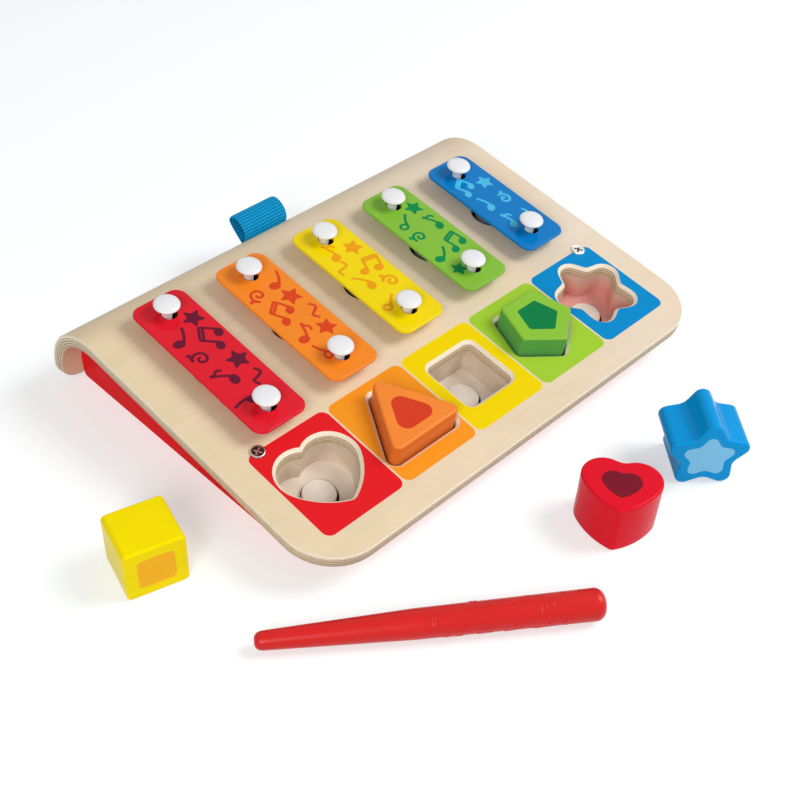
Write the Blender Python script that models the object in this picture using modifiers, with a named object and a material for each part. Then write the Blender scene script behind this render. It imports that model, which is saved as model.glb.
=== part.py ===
# A wooden shape sorter with a xylophone: five wells for five blocks, and under them
# five rockers whose hammers strike five metal bars from below.
# Metres, +Z up. The origin is on the floor, at the middle of the base's underside.
# X runs along the bars' row, Y from the front edge to the curled rear end.
#
# Most pieces belong to the tilted board. They are placed in the board's own frame:
# x across, v up the slope from the front edge, w square to the board, 0 on its top face.

from math import acos, asin, atan2, cos, pi, radians, sin, sqrt, tan

import bmesh
import bpy
import numpy as np
from mathutils import Matrix, Vector

# Clearances
seat_gap = 0.0003
overrun = 0.003

# Bent plywood board
board_width = 0.340
board_thickness = 0.0085
board_tilt = radians(7.5)
front_edge_height = 0.0275
flat_length = 0.2075
curl_radius = 0.044
curl_floor_gap = 0.0005
front_corner_radius = 0.034
curl_corner_radius = 0.012
curl_steps = 16

# The row of wells and bars. The shares are of the pitch, which comes from the board's width.
board_side_margin = 0.01775
row_front_v = 0.0220
row_half_depth_share = 0.558
row_rear_share = 0.624
bar_front_share = 0.554
bar_width_share = 0.632

# Blocks: one height, one softened edge, and outlines in shares of the pitch
block_height = 0.0343
block_edge_round = 0.0015
block_proud = 0.0125
square_half_share = 0.298
square_corner_radius = 0.0032
triangle_inradius_share = 0.274
triangle_corner_radius = 0.0042
triangle_forward_share = 0.099
pentagon_inradius_share = 0.328
pentagon_corner_radius = 0.0022
star_tip_share = 0.479
star_notch_share = 0.280
star_tip_round = 0.0042
star_notch_round = 0.0035
heart_lobe_radius_share = 0.233
heart_lobe_spacing_share = 0.319
heart_side_radius_share = 0.742
heart_tip_round = 0.0022
heart_height_share = 0.402
heart_forward_share = 0.320

# Shaped holes in the board, each wider than its block by its clearance
heart_clearance = 0.0026
triangle_clearance = 0.0018
square_clearance = 0.0011
pentagon_clearance = 0.0018
star_clearance = 0.0028
hole_round = 0.0020
hole_round_steps = 2

# Wells under the board
well_depth = 0.0250
well_floor_thickness = 0.0015
well_block_end_gap = 0.0005
well_corner_gap = 0.0030
peg_radius = 0.0103
peg_clearance = 0.0012

# Base
base_inset = 0.0145
base_corner_radius = 0.0400
side_thickness = 0.0050
panel_thickness = 0.0020
panel_rear_gap = 0.0060
side_corner_radius = 0.0025

# Rockers: a flat lever on an axle, a peg at its front and a hammer at its rear
axle_radius = 0.0015
axle_clearance = 0.0003
axle_setback = 0.0260
axle_bore_depth = 0.0035
lever_width = 0.0140
lever_hub_radius = 0.0034
lever_floor_gap = 0.0004
tongue_thickness = 0.0020
tongue_overhang = 0.0060
arm_drop = 0.0010
arm_thickness = 0.0050
arm_overhang = 0.0090
strike_setback = 0.0010
hammer_setback = 0.0013
hammer_post_radius = 0.0045
hammer_head_radius = 0.0090
hammer_head_height = 0.0100
hammer_dome_height = 0.0012
hammer_top_w = 0.0024
strike_hole_radius = 0.0132
strike_hole_round = 0.0010

# Rest under the levers, in front of the hammers
rest_distance = 0.0270
rest_width = 0.0090
felt_thickness = 0.0020

# Bars and their pins. The longest bar runs from behind the wells to just past the flat.
bar_thickness = 0.0022
bar_top_w = 0.0112
bar_corner_radius = 0.0078
bar_edge_round = 0.0007
bar_overhang = 0.0048
bar_semitones = (0, 2, 4, 5, 7)
semitones_per_halving = 24
pin_end_distance = 0.0155
bar_hole_radius = 0.0062
pin_stem_radius = 0.0036
pin_stem_clearance = 0.0002
pin_neck_height = 0.0012
pin_cap_radius = 0.0083
pin_cone_radius = 0.0056
pin_cone_height = 0.0069
pin_rim_height = 0.0080
pin_cap_height = 0.0095
spacer_radius = 0.0080

# Screws through the board into the well block
screw_side_distance = 0.0270
screw_rear_distance = 0.0055
screw_head_radius = 0.0048
screw_head_height = 0.0020
screw_shank_radius = 0.0020
screw_length = 0.0180

# Webbing loop at the rear of the curl
loop_width = 0.0370
loop_thickness = 0.0014
loop_slot_angle = radians(30.5)
loop_slot_clearance = 0.0004
loop_lean = radians(11.0)
loop_length = 0.0210
loop_bulge = 0.0092
loop_tail_length = 0.0120
loop_strap_gap = 0.0006
loop_bend_radius = 0.0013

# Tapered stick
stick_length = 0.1900
stick_thin_radius = 0.0051
stick_middle_radius = 0.0084
stick_thick_radius = 0.0092
stick_middle_share = 0.45
stick_end_round = 0.0030

# Places of the loose pieces on the floor, from the board's left front corner
yellow_block_place = (-0.0520, 0.0897)
yellow_block_turn = radians(-15.5)
heart_block_place = (0.1503, -0.0773)
heart_block_turn = radians(-55.0)
star_block_place = (0.2430, -0.0695)
star_block_turn = radians(-40.6)
stick_thin_place = (-0.0446, 0.0079)
stick_turn = radians(-35.8)

colours = ("red", "orange", "yellow", "green", "blue")

# Worked-out sizes of the row
row_pitch = (board_width - 2 * board_side_margin) / len(colours)
row_x = [row_pitch * (place - (len(colours) - 1) / 2) for place in range(len(colours))]
row_v = row_front_v + row_pitch * row_half_depth_share
well_block_rear_v = row_v + row_pitch * row_rear_share
square_half = row_pitch * square_half_share
triangle_inradius = row_pitch * triangle_inradius_share
triangle_v = row_v - row_pitch * triangle_forward_share
pentagon_inradius = row_pitch * pentagon_inradius_share
star_tip_radius = row_pitch * star_tip_share
star_notch_radius = row_pitch * star_notch_share
heart_lobe_radius = row_pitch * heart_lobe_radius_share
heart_lobe_spacing = row_pitch * heart_lobe_spacing_share
heart_side_radius = row_pitch * heart_side_radius_share
heart_height = row_pitch * heart_height_share
heart_tip_v = row_v - row_pitch * heart_forward_share

# Worked-out bars and rockers
bar_width = row_pitch * bar_width_share
bar_front_v = row_v + row_pitch * bar_front_share
longest_bar = flat_length + bar_overhang - bar_front_v
bar_centre_v = bar_front_v + longest_bar / 2
bar_lengths = [longest_bar / 2 ** (tone / semitones_per_halving) for tone in bar_semitones]
strike_v = bar_centre_v + strike_setback
rest_v = strike_v - rest_distance
axle_v = row_v + axle_setback
tongue_front_v = row_v - tongue_overhang
arm_rear_v = strike_v + arm_overhang

# Other worked-out sizes
inner_radius = curl_radius - board_thickness
hole_bottom_w = -board_thickness
curl_centre_y = flat_length * cos(board_tilt) + curl_radius * sin(board_tilt)
curl_centre_z = front_edge_height + flat_length * sin(board_tilt) - curl_radius * cos(board_tilt)
curl_end_angle = asin((curl_floor_gap - curl_centre_z) / curl_radius)
side_rear_radius = inner_radius - seat_gap
side_rear_bottom_y = curl_centre_y + sqrt(side_rear_radius ** 2 - curl_centre_z ** 2)
base_middle_y = (base_inset + side_rear_bottom_y) / 2
inner_half_width = board_width / 2 - base_inset - side_thickness
block_bottom_w = block_proud - block_height
peg_top_w = block_bottom_w - seat_gap
well_floor_bottom_w = -well_depth - well_floor_thickness
tongue_top_w = well_floor_bottom_w - lever_floor_gap
tongue_bottom_w = tongue_top_w - tongue_thickness
axle_w = tongue_top_w - lever_hub_radius
arm_top_w = tongue_top_w - arm_drop
arm_bottom_w = arm_top_w - arm_thickness
bar_bottom_w = bar_top_w - bar_thickness
loop_slot_height = 2 * loop_thickness + loop_strap_gap + 2 * loop_slot_clearance

for old in list(bpy.data.objects):
    bpy.data.objects.remove(old, do_unlink=True)

parts = bpy.data.collections.new("shape_sorter_xylophone")
cutters = bpy.data.collections.new("cutters")
bpy.context.scene.collection.children.link(parts)
bpy.context.scene.collection.children.link(cutters)


# Materials

def material(name, colour, roughness, metallic=0.0):
    made = bpy.data.materials.new(name)
    made.use_nodes = True
    shader = made.node_tree.nodes["Principled BSDF"]
    shader.inputs["Base Color"].default_value = (*colour, 1.0)
    shader.inputs["Roughness"].default_value = roughness
    shader.inputs["Metallic"].default_value = metallic
    return made


plywood = material("birch_plywood", (0.82, 0.68, 0.46), 0.45)
cream_wood = material("cream_painted_wood", (0.76, 0.69, 0.58), 0.50)
red_paint = material("red_painted_wood", (0.60, 0.01, 0.01), 0.40)
brown_board = material("hardboard", (0.30, 0.17, 0.09), 0.70)
steel = material("zinc_plated_steel", (0.62, 0.62, 0.60), 0.30, 1.0)
lever_wood = material("beech_lever", (0.72, 0.52, 0.32), 0.55)
grey_rubber = material("grey_rubber", (0.22, 0.22, 0.23), 0.70)
black_rubber = material("black_rubber", (0.02, 0.02, 0.02), 0.75)
white_plastic = material("white_plastic", (0.87, 0.87, 0.88), 0.35)
blue_webbing = material("blue_webbing", (0.01, 0.30, 0.60), 0.80)
grey_felt = material("grey_felt", (0.30, 0.30, 0.30), 0.95)
enamels = {
    "red": material("red_enamel", (0.72, 0.01, 0.02), 0.20),
    "orange": material("orange_enamel", (0.95, 0.24, 0.02), 0.20),
    "yellow": material("yellow_enamel", (0.93, 0.67, 0.0), 0.20),
    "green": material("green_enamel", (0.22, 0.52, 0.04), 0.20),
    "blue": material("blue_enamel", (0.0, 0.18, 0.55), 0.20),
}
paints = {
    "red": material("red_block_paint", (0.76, 0.01, 0.02), 0.35),
    "orange": material("orange_block_paint", (0.95, 0.27, 0.03), 0.35),
    "yellow": material("yellow_block_paint", (1.0, 0.78, 0.0), 0.35),
    "green": material("green_block_paint", (0.26, 0.56, 0.05), 0.35),
    "blue": material("blue_block_paint", (0.0, 0.28, 0.69), 0.35),
}


# Outlines, as lists of points in a plane

def arc(centre, radius, start, end, steps):
    angles = np.linspace(start, end, steps + 1)
    return [(centre[0] + radius * cos(a), centre[1] + radius * sin(a)) for a in angles]


def rounded(corners, radii, steps=3):
    # Each corner is replaced by an arc that touches both of its edges.
    outline = []
    for index, corner in enumerate(corners):
        here = np.array(corner)
        if radii[index] <= 0:
            outline.append(tuple(here))
            continue
        back = np.array(corners[index - 1]) - here
        ahead = np.array(corners[(index + 1) % len(corners)]) - here
        back = back / np.linalg.norm(back)
        ahead = ahead / np.linalg.norm(ahead)
        half = acos(np.clip(back @ ahead, -1, 1)) / 2
        inward = (back + ahead) / np.linalg.norm(back + ahead)
        centre = here + inward * radii[index] / sin(half)
        first = here + back * radii[index] / tan(half) - centre
        last = here + ahead * radii[index] / tan(half) - centre
        start = atan2(first[1], first[0])
        turn = (atan2(last[1], last[0]) - start + pi) % (2 * pi) - pi
        outline += arc(centre, radii[index], start, start + turn, steps)
    return outline


def polygon_outline(sides, inradius, corner_radius, first_angle, offset):
    reach = (inradius + offset) / cos(pi / sides)
    turns = [first_angle + 2 * pi * k / sides for k in range(sides)]
    corners = [(reach * cos(a), reach * sin(a)) for a in turns]
    return rounded(corners, [corner_radius + offset] * sides)


def star_outline(offset):
    # The tips' and notches' sharp corners move out along their bisectors.
    tip_side = star_notch_radius * sin(pi / 5)
    tip_depth = star_tip_radius - star_notch_radius * cos(pi / 5)
    tip_half = atan2(tip_side, tip_depth)
    notch_half = tip_half + pi / 5
    reach = (star_tip_radius + offset / sin(tip_half), star_notch_radius + offset / sin(notch_half))
    notch_round = max(star_notch_round - offset, seat_gap)
    radii = [star_tip_round + offset, notch_round] * 5
    corners = []
    for k in range(10):
        angle = pi / 2 + pi * k / 5
        corners.append((reach[k % 2] * cos(angle), reach[k % 2] * sin(angle)))
    return rounded(corners, radii)


def heart_outline(offset):
    # Half a heart in three touching arcs: tip, bulging side, lobe. The other half mirrors it.
    lobe = np.array([heart_lobe_spacing / 2, heart_height])
    tip = np.array([0.0, 0.0])
    apart = np.linalg.norm(lobe - tip)
    to_lobe = heart_side_radius - heart_lobe_radius
    to_tip = heart_side_radius - heart_tip_round
    along = (to_lobe ** 2 - to_tip ** 2 + apart ** 2) / (2 * apart)
    across = sqrt(to_lobe ** 2 - along ** 2)
    down = (tip - lobe) / apart
    side = lobe + down * along + np.array([down[1], -down[0]]) * across
    lobe_angle = atan2(*(lobe - side)[::-1])
    tip_angle = atan2(*(tip - side)[::-1])
    notch_angle = pi - acos(lobe[0] / (heart_lobe_radius + offset))
    half = arc(tip, heart_tip_round + offset, -pi / 2, tip_angle, 3)
    half += arc(side, heart_side_radius + offset, tip_angle, lobe_angle, 4)[1:]
    half += arc(lobe, heart_lobe_radius + offset, lobe_angle, notch_angle, 10)[1:]
    mirrored = [(-x, y) for x, y in reversed(half)]
    return half + mirrored[1:-1]


def square_outline(offset):
    return polygon_outline(4, square_half, square_corner_radius, pi / 4, offset)


def triangle_outline(offset):
    return polygon_outline(3, triangle_inradius, triangle_corner_radius, pi / 2, offset)


def pentagon_outline(offset):
    return polygon_outline(5, pentagon_inradius, pentagon_corner_radius, -pi / 2, offset)


# Shape, place and clearance of each well, left to right
shapes = {
    "red": (heart_outline, heart_tip_v, heart_clearance),
    "orange": (triangle_outline, triangle_v, triangle_clearance),
    "yellow": (square_outline, row_v, square_clearance),
    "green": (pentagon_outline, row_v, pentagon_clearance),
    "blue": (star_outline, row_v, star_clearance),
}


# Solids

def keep(name, mesh, look, parent=None, location=(0, 0, 0)):
    made = bpy.data.objects.new(name, mesh)
    parts.objects.link(made)
    made.data.materials.clear()
    made.data.materials.append(look)
    made.parent = parent
    made.location = location
    return made


def keep_cutter(name, mesh, parent=None, location=(0, 0, 0)):
    made = bpy.data.objects.new(name, mesh)
    cutters.objects.link(made)
    made.parent = parent
    made.location = location
    made.hide_render = True
    made.display_type = "WIRE"
    return made


def smooth(mesh, angle=radians(35)):
    mesh.shade_smooth()
    mesh.set_sharp_from_angle(angle=angle)


def slab(name, outline, thickness, edge_round=0.0, edge_steps=1):
    # A flat outline with its underside at 0, made from a filled 2D curve.
    curve = bpy.data.curves.new(name, "CURVE")
    curve.dimensions = "2D"
    curve.fill_mode = "BOTH"
    curve.extrude = thickness / 2 - edge_round
    curve.bevel_depth = edge_round
    curve.bevel_resolution = edge_steps
    curve.offset = -edge_round
    line = curve.splines.new("POLY")
    line.points.add(len(outline) - 1)
    for point, place in zip(line.points, outline):
        point.co = (place[0], place[1], 0, 1)
    line.use_cyclic_u = True
    holder = bpy.data.objects.new(name, curve)
    parts.objects.link(holder)
    bpy.context.view_layer.update()
    mesh = bpy.data.meshes.new_from_object(holder.evaluated_get(bpy.context.evaluated_depsgraph_get()))
    bpy.data.objects.remove(holder, do_unlink=True)
    bpy.data.curves.remove(curve)
    shell = bmesh.new()
    shell.from_mesh(mesh)
    bmesh.ops.remove_doubles(shell, verts=shell.verts, dist=seat_gap / 100)
    bmesh.ops.recalc_face_normals(shell, faces=shell.faces)
    bmesh.ops.translate(shell, verts=shell.verts, vec=(0, 0, thickness / 2))
    shell.to_mesh(mesh)
    shell.free()
    return mesh


def side_slab(name, outline, width, edge_round=0.0):
    # The outline stands in the Y-Z plane and the thickness runs along X, centred on 0.
    mesh = slab(name, outline, width, edge_round)
    mesh.transform(Matrix.Translation((0, 0, -width / 2)))
    mesh.transform(Matrix(((0, 0, 1, 0), (1, 0, 0, 0), (0, 1, 0, 0), (0, 0, 0, 1))))
    return mesh


def turned(name, profile, look, parent, location, steps=16):
    # The profile runs down the outer side, from the axis at the top to the axis below.
    mesh = bpy.data.meshes.new(name)
    edges = [(k, k + 1) for k in range(len(profile) - 1)]
    mesh.from_pydata([(radius, 0, height) for radius, height in profile], edges, [])
    made = keep(name, mesh, look, parent, location)
    screw = made.modifiers.new("turn", "SCREW")
    screw.steps = steps
    screw.render_steps = steps
    screw.use_merge_vertices = True
    screw.merge_threshold = seat_gap / 10
    screw.use_smooth_shade = True
    return made


def rod_mesh(name, radius, low, high, segments=24):
    # A round bar along Z between two heights.
    mesh = bpy.data.meshes.new(name)
    shell = bmesh.new()
    placed = Matrix.Translation((0, 0, (low + high) / 2))
    bmesh.ops.create_cone(shell, cap_ends=True, segments=segments, radius1=radius, radius2=radius,
                          depth=high - low, matrix=placed)
    shell.to_mesh(mesh)
    shell.free()
    smooth(mesh)
    return mesh


def loft(name, rings):
    # Walls between rings of equal point counts, bottom ring first, closed by a face at each end.
    mesh = bpy.data.meshes.new(name)
    shell = bmesh.new()
    rows = [[shell.verts.new((x, y, height)) for x, y in outline] for outline, height in rings]
    for lower, upper in zip(rows, rows[1:]):
        for k in range(len(lower)):
            after = (k + 1) % len(lower)
            shell.faces.new((lower[k], lower[after], upper[after], upper[k]))
    shell.faces.new(list(reversed(rows[0])))
    shell.faces.new(rows[-1])
    bmesh.ops.recalc_face_normals(shell, faces=shell.faces)
    shell.to_mesh(mesh)
    shell.free()
    return mesh


def routed_cutter(name, outline_at, edge_round, parent, location):
    # Cuts straight through the board and flares at its top face like a rounding-over bit.
    rings = [(outline_at(0.0), hole_bottom_w - overrun)]
    for k in range(hole_round_steps, -1, -1):
        turn = pi / 2 * k / hole_round_steps
        rings.append((outline_at(edge_round * (1 - sin(turn))), edge_round * (cos(turn) - 1)))
    rings.append((outline_at(edge_round), overrun))
    return keep_cutter(name, loft(name, rings), parent, location)


def cut(target, cutter, operation="DIFFERENCE"):
    step = target.modifiers.new(cutter.name, "BOOLEAN")
    step.operation = operation
    step.solver = "EXACT"
    step.object = cutter


def circle_outline(radius):
    return arc((0, 0), radius, 0, 2 * pi, 24)[:-1]


# The board's own frame
board_frame = bpy.data.objects.new("board_frame", None)
parts.objects.link(board_frame)
board_frame.location = (0, -base_middle_y, front_edge_height)
board_frame.rotation_euler = (board_tilt, 0, 0)


# Bent plywood board: the sheet's side profile, trimmed by its plan outline
plan_end_angle = curl_end_angle - board_tilt
curl_centre_v = flat_length
curl_centre_w = -curl_radius
sheet_outline = [(-overrun, 0)]
sheet_outline += arc((curl_centre_v, curl_centre_w), curl_radius, pi / 2, plan_end_angle, curl_steps)
sheet_outline += arc((curl_centre_v, curl_centre_w), inner_radius, plan_end_angle, pi / 2, curl_steps)
sheet_outline += [(-overrun, -board_thickness)]
board_mesh = side_slab("bent_plywood_board", sheet_outline, board_width + 2 * overrun)
smooth(board_mesh)
board = keep("bent_plywood_board", board_mesh, plywood, board_frame)

plan_rear = curl_centre_v + curl_radius + overrun
plan_corners = [
    (-board_width / 2, 0),
    (board_width / 2, 0),
    (board_width / 2, plan_rear),
    (-board_width / 2, plan_rear),
]
plan = rounded(plan_corners, [front_corner_radius, front_corner_radius, 0, 0], 9)
plan_mesh = slab("board_plan", plan, 2 * curl_radius + 2 * overrun)
cut(board, keep_cutter("board_plan", plan_mesh, board_frame, (0, 0, -2 * curl_radius - overrun)), "INTERSECT")

# Rounded lower corners of the curled end
corner_angle = plan_end_angle + curl_corner_radius / curl_radius / 2
corner_reach = curl_radius * cos(corner_angle - plan_end_angle)
for side in (-1, 1):
    outer = side * (board_width / 2 + overrun)
    start = (side * (board_width / 2 - curl_corner_radius), 0)
    bend = arc((start[0], curl_corner_radius), curl_corner_radius, -pi / 2, 0 if side > 0 else -pi, 6)
    outline = bend + [(outer, curl_corner_radius), (outer, -overrun), (start[0], -overrun)]
    name = "curl_corner_left" if side < 0 else "curl_corner_right"
    corner_mesh = slab(name, outline, 2 * overrun + board_thickness)
    lowered = corner_reach * sin(corner_angle - plan_end_angle)
    corner = keep_cutter(corner_mesh.name, corner_mesh, board_frame)
    corner.rotation_euler = (corner_angle + pi / 2, 0, 0)
    outward = Vector((0, cos(corner_angle), sin(corner_angle)))
    upward = Vector((0, -sin(corner_angle), cos(corner_angle)))
    middle = Vector((0, curl_centre_v, curl_centre_w))
    corner.location = middle + outward * (curl_radius + overrun) - upward * lowered
    cut(board, corner)

# Shaped holes, with the bare wood of their rounded edge
for colour, x in zip(colours, row_x):
    outline_of, v, clearance = shapes[colour]
    cutter = routed_cutter("hole_" + colour, lambda grow, f=outline_of, c=clearance: f(c + grow), hole_round,
                           board_frame, (x, v, 0))
    cut(board, cutter)

# Round strike holes under the bars
for colour, x in zip(colours, row_x):
    cutter = routed_cutter("strike_hole_" + colour, lambda grow: circle_outline(strike_hole_radius + grow),
                           strike_hole_round, board_frame, (x, strike_v, 0))
    cut(board, cutter)


# Well block and well floor, between the base's sides, their front corners rounded like the base's
well_half_width = inner_half_width - well_block_end_gap
well_corner_radius = base_corner_radius - side_thickness - well_corner_gap
well_corners = [
    (-well_half_width, row_front_v),
    (well_half_width, row_front_v),
    (well_half_width, well_block_rear_v),
    (-well_half_width, well_block_rear_v),
]
well_plan = rounded(well_corners, [well_corner_radius, well_corner_radius, 0, 0], 6)
well_top_w = -board_thickness - seat_gap
well_bottom_w = -well_depth + seat_gap
well_block_mesh = slab("well_block", well_plan, well_top_w - well_bottom_w)
well_block = keep("well_block", well_block_mesh, cream_wood, board_frame, (0, 0, well_bottom_w))
for colour, x in zip(colours, row_x):
    outline_of, v, clearance = shapes[colour]
    well_mesh = slab("well_" + colour, outline_of(clearance), well_depth + 2 * overrun)
    cut(well_block, keep_cutter("well_" + colour, well_mesh, board_frame, (x, v, -well_depth - overrun)))

well_floor_mesh = slab("well_floor", well_plan, well_floor_thickness)
well_floor = keep("well_floor", well_floor_mesh, cream_wood, board_frame, (0, 0, well_floor_bottom_w))
for colour, x in zip(colours, row_x):
    hole = rod_mesh("peg_hole_" + colour, peg_radius + peg_clearance, well_floor_bottom_w - overrun,
                    overrun - well_depth, 32)
    cut(well_floor, keep_cutter("peg_hole_" + colour, hole, board_frame, (x, row_v, 0)))


# Base: two sides that follow the board's underside and the inside of its curl
def under_board(y, drop):
    # Height of a line that runs the given distance below the board's underside.
    return front_edge_height + y * tan(board_tilt) - (board_thickness + drop) / cos(board_tilt)


top_rear_angle = pi / 2 + board_tilt
bottom_angle = asin(-curl_centre_z / side_rear_radius)
side_front = base_inset + base_corner_radius + seat_gap
side_outline = [(side_front, 0), (side_rear_bottom_y, 0)]
side_outline += arc((curl_centre_y, curl_centre_z), side_rear_radius, bottom_angle, top_rear_angle, 14)[1:]
side_outline += [(side_front, under_board(side_front, seat_gap))]
side_radii = [0, side_corner_radius] + [0] * (len(side_outline) - 2)
side_points = [(y - base_middle_y, z) for y, z in rounded(side_outline, side_radii)]


def base_piece(name, outline, width, look, x=0.0):
    mesh = side_slab(name, outline, width)
    smooth(mesh)
    return keep(name, mesh, look, None, (x, 0, 0))


axle_y = axle_v * cos(board_tilt) - axle_w * sin(board_tilt) - base_middle_y
axle_z = front_edge_height + axle_v * sin(board_tilt) + axle_w * cos(board_tilt)
side_x = board_width / 2 - base_inset - side_thickness / 2
to_x = Matrix.Rotation(pi / 2, 4, "Y")
for name, sign in (("base_left_side", -1), ("base_right_side", 1)):
    side = base_piece(name, side_points, side_thickness, red_paint, sign * side_x)
    bore = rod_mesh(name + "_bore", axle_radius + axle_clearance, -axle_bore_depth, axle_bore_depth, 16)
    bore.transform(to_x)
    cut(side, keep_cutter(bore.name, bore, None, (sign * inner_half_width, axle_y, axle_z)))

# Front rail, bent round both front corners, and the bottom panel inside it
def front_plan(inset, rear):
    # A rectangle inside the board's plan, open to the rear, its front corners on the base's corner centres.
    half = board_width / 2 - base_inset - inset
    front = base_inset + inset - base_middle_y
    radius = base_corner_radius - inset
    return rounded([(-half, rear), (-half, front), (half, front), (half, rear)], [0, radius, radius, 0], 8)


rail_rear = side_front - seat_gap - base_middle_y
rail_outline = front_plan(0.0, rail_rear) + front_plan(side_thickness, rail_rear)[::-1]
rail_mesh = slab("base_front_rail", rail_outline, front_edge_height)
smooth(rail_mesh)
front_rail = keep("base_front_rail", rail_mesh, red_paint)
above_outline = [
    (-board_width, -overrun),
    (board_width, -overrun),
    (board_width, flat_length),
    (-board_width, flat_length),
]
above_mesh = slab("above_the_rail", above_outline, front_edge_height)
cut(front_rail, keep_cutter("above_the_rail", above_mesh, board_frame, (0, 0, -board_thickness - seat_gap)))

panel_rear = side_rear_bottom_y - panel_rear_gap - base_middle_y
panel_mesh = slab("base_bottom_panel", front_plan(side_thickness + seat_gap, panel_rear), panel_thickness)
keep("base_bottom_panel", panel_mesh, brown_board)


# Rest rail across the base, with a felt strip that the levers lie on
def on_board(v, w):
    y = v * cos(board_tilt) - w * sin(board_tilt) - base_middle_y
    z = front_edge_height + v * sin(board_tilt) + w * cos(board_tilt)
    return (y, z)


felt_top_w = arm_bottom_w - seat_gap
felt_bottom_w = felt_top_w - felt_thickness
rail_top_w = felt_bottom_w - seat_gap
rest_front = rest_v - rest_width / 2
rest_rear = rest_v + rest_width / 2
rest_top_front = on_board(rest_front, rail_top_w)
rest_top_rear = on_board(rest_rear, rail_top_w)
rest_foot = panel_thickness + seat_gap
rest_outline = [(rest_top_front[0], rest_foot), (rest_top_rear[0], rest_foot), rest_top_rear, rest_top_front]
rest_length = 2 * (inner_half_width - seat_gap)
base_piece("lever_rest_rail", rest_outline, rest_length, lever_wood)
felt_outline = [
    on_board(rest_front, felt_bottom_w),
    on_board(rest_rear, felt_bottom_w),
    on_board(rest_rear, felt_top_w),
    on_board(rest_front, felt_top_w),
]
base_piece("lever_rest_felt", felt_outline, rest_length, grey_felt)


# Axle, held in blind bores in the two sides
axle_half_length = inner_half_width + axle_bore_depth - seat_gap
axle_mesh = rod_mesh("rocker_axle", axle_radius, -axle_half_length, axle_half_length, 16)
axle_mesh.transform(to_x)
keep("rocker_axle", axle_mesh, steel, None, (0, axle_y, axle_z))


# Rockers. Each lever's origin is on the axle; its outline is drawn in the board's frame
tongue_top = tongue_top_w - axle_w
tongue_bottom = tongue_bottom_w - axle_w
arm_top = arm_top_w - axle_w
arm_bottom = arm_bottom_w - axle_w
tongue_front = tongue_front_v - axle_v
arm_rear = arm_rear_v - axle_v
front_angle = asin(tongue_bottom / lever_hub_radius)
rear_angle = asin(arm_top / lever_hub_radius)
lever_outline = [(tongue_front, tongue_bottom)]
lever_outline += arc((0, 0), lever_hub_radius, pi - front_angle, 3 * pi / 2, 5)
lever_outline += [(lever_hub_radius, arm_bottom), (arm_rear, arm_bottom), (arm_rear, arm_top)]
lever_outline += arc((0, 0), lever_hub_radius, rear_angle, pi / 2, 3)
lever_outline += [(tongue_front, tongue_top)]
hammer_v = strike_v + hammer_setback
hammer_foot_w = arm_top_w + seat_gap
dome_foot_w = hammer_top_w - hammer_dome_height
head_foot_w = hammer_top_w - hammer_head_height
head_neck_w = head_foot_w - hammer_head_radius + hammer_post_radius
hammer_profile = [
    (0, hammer_top_w - hammer_foot_w),
    (hammer_head_radius / 2, hammer_top_w - hammer_dome_height / 4 - hammer_foot_w),
    (hammer_head_radius, dome_foot_w - hammer_foot_w),
    (hammer_head_radius, head_foot_w - hammer_foot_w),
    (hammer_post_radius, head_neck_w - hammer_foot_w),
    (hammer_post_radius, 0),
    (0, 0),
]
peg_foot_w = tongue_top_w + seat_gap
peg_height = peg_top_w - peg_foot_w
peg_edge = peg_clearance / 2
peg_profile = [(0, peg_height), (peg_radius - peg_edge, peg_height), (peg_radius, peg_height - peg_edge),
               (peg_radius, 0), (0, 0)]
for colour, x in zip(colours, row_x):
    lever_mesh = side_slab("lever_" + colour, lever_outline, lever_width)
    smooth(lever_mesh)
    lever = keep("lever_" + colour, lever_mesh, lever_wood, board_frame, (x, axle_v, axle_w))
    bore = rod_mesh("lever_bore_" + colour, axle_radius + axle_clearance, -lever_width, lever_width, 16)
    bore.transform(to_x)
    cut(lever, keep_cutter(bore.name, bore, lever))
    turned("peg_" + colour, peg_profile, cream_wood, lever, (0, row_v - axle_v, peg_foot_w - axle_w), 20)
    turned("hammer_" + colour, hammer_profile, grey_rubber, lever,
           (0, hammer_v - axle_v, hammer_foot_w - axle_w), 18)


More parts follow.
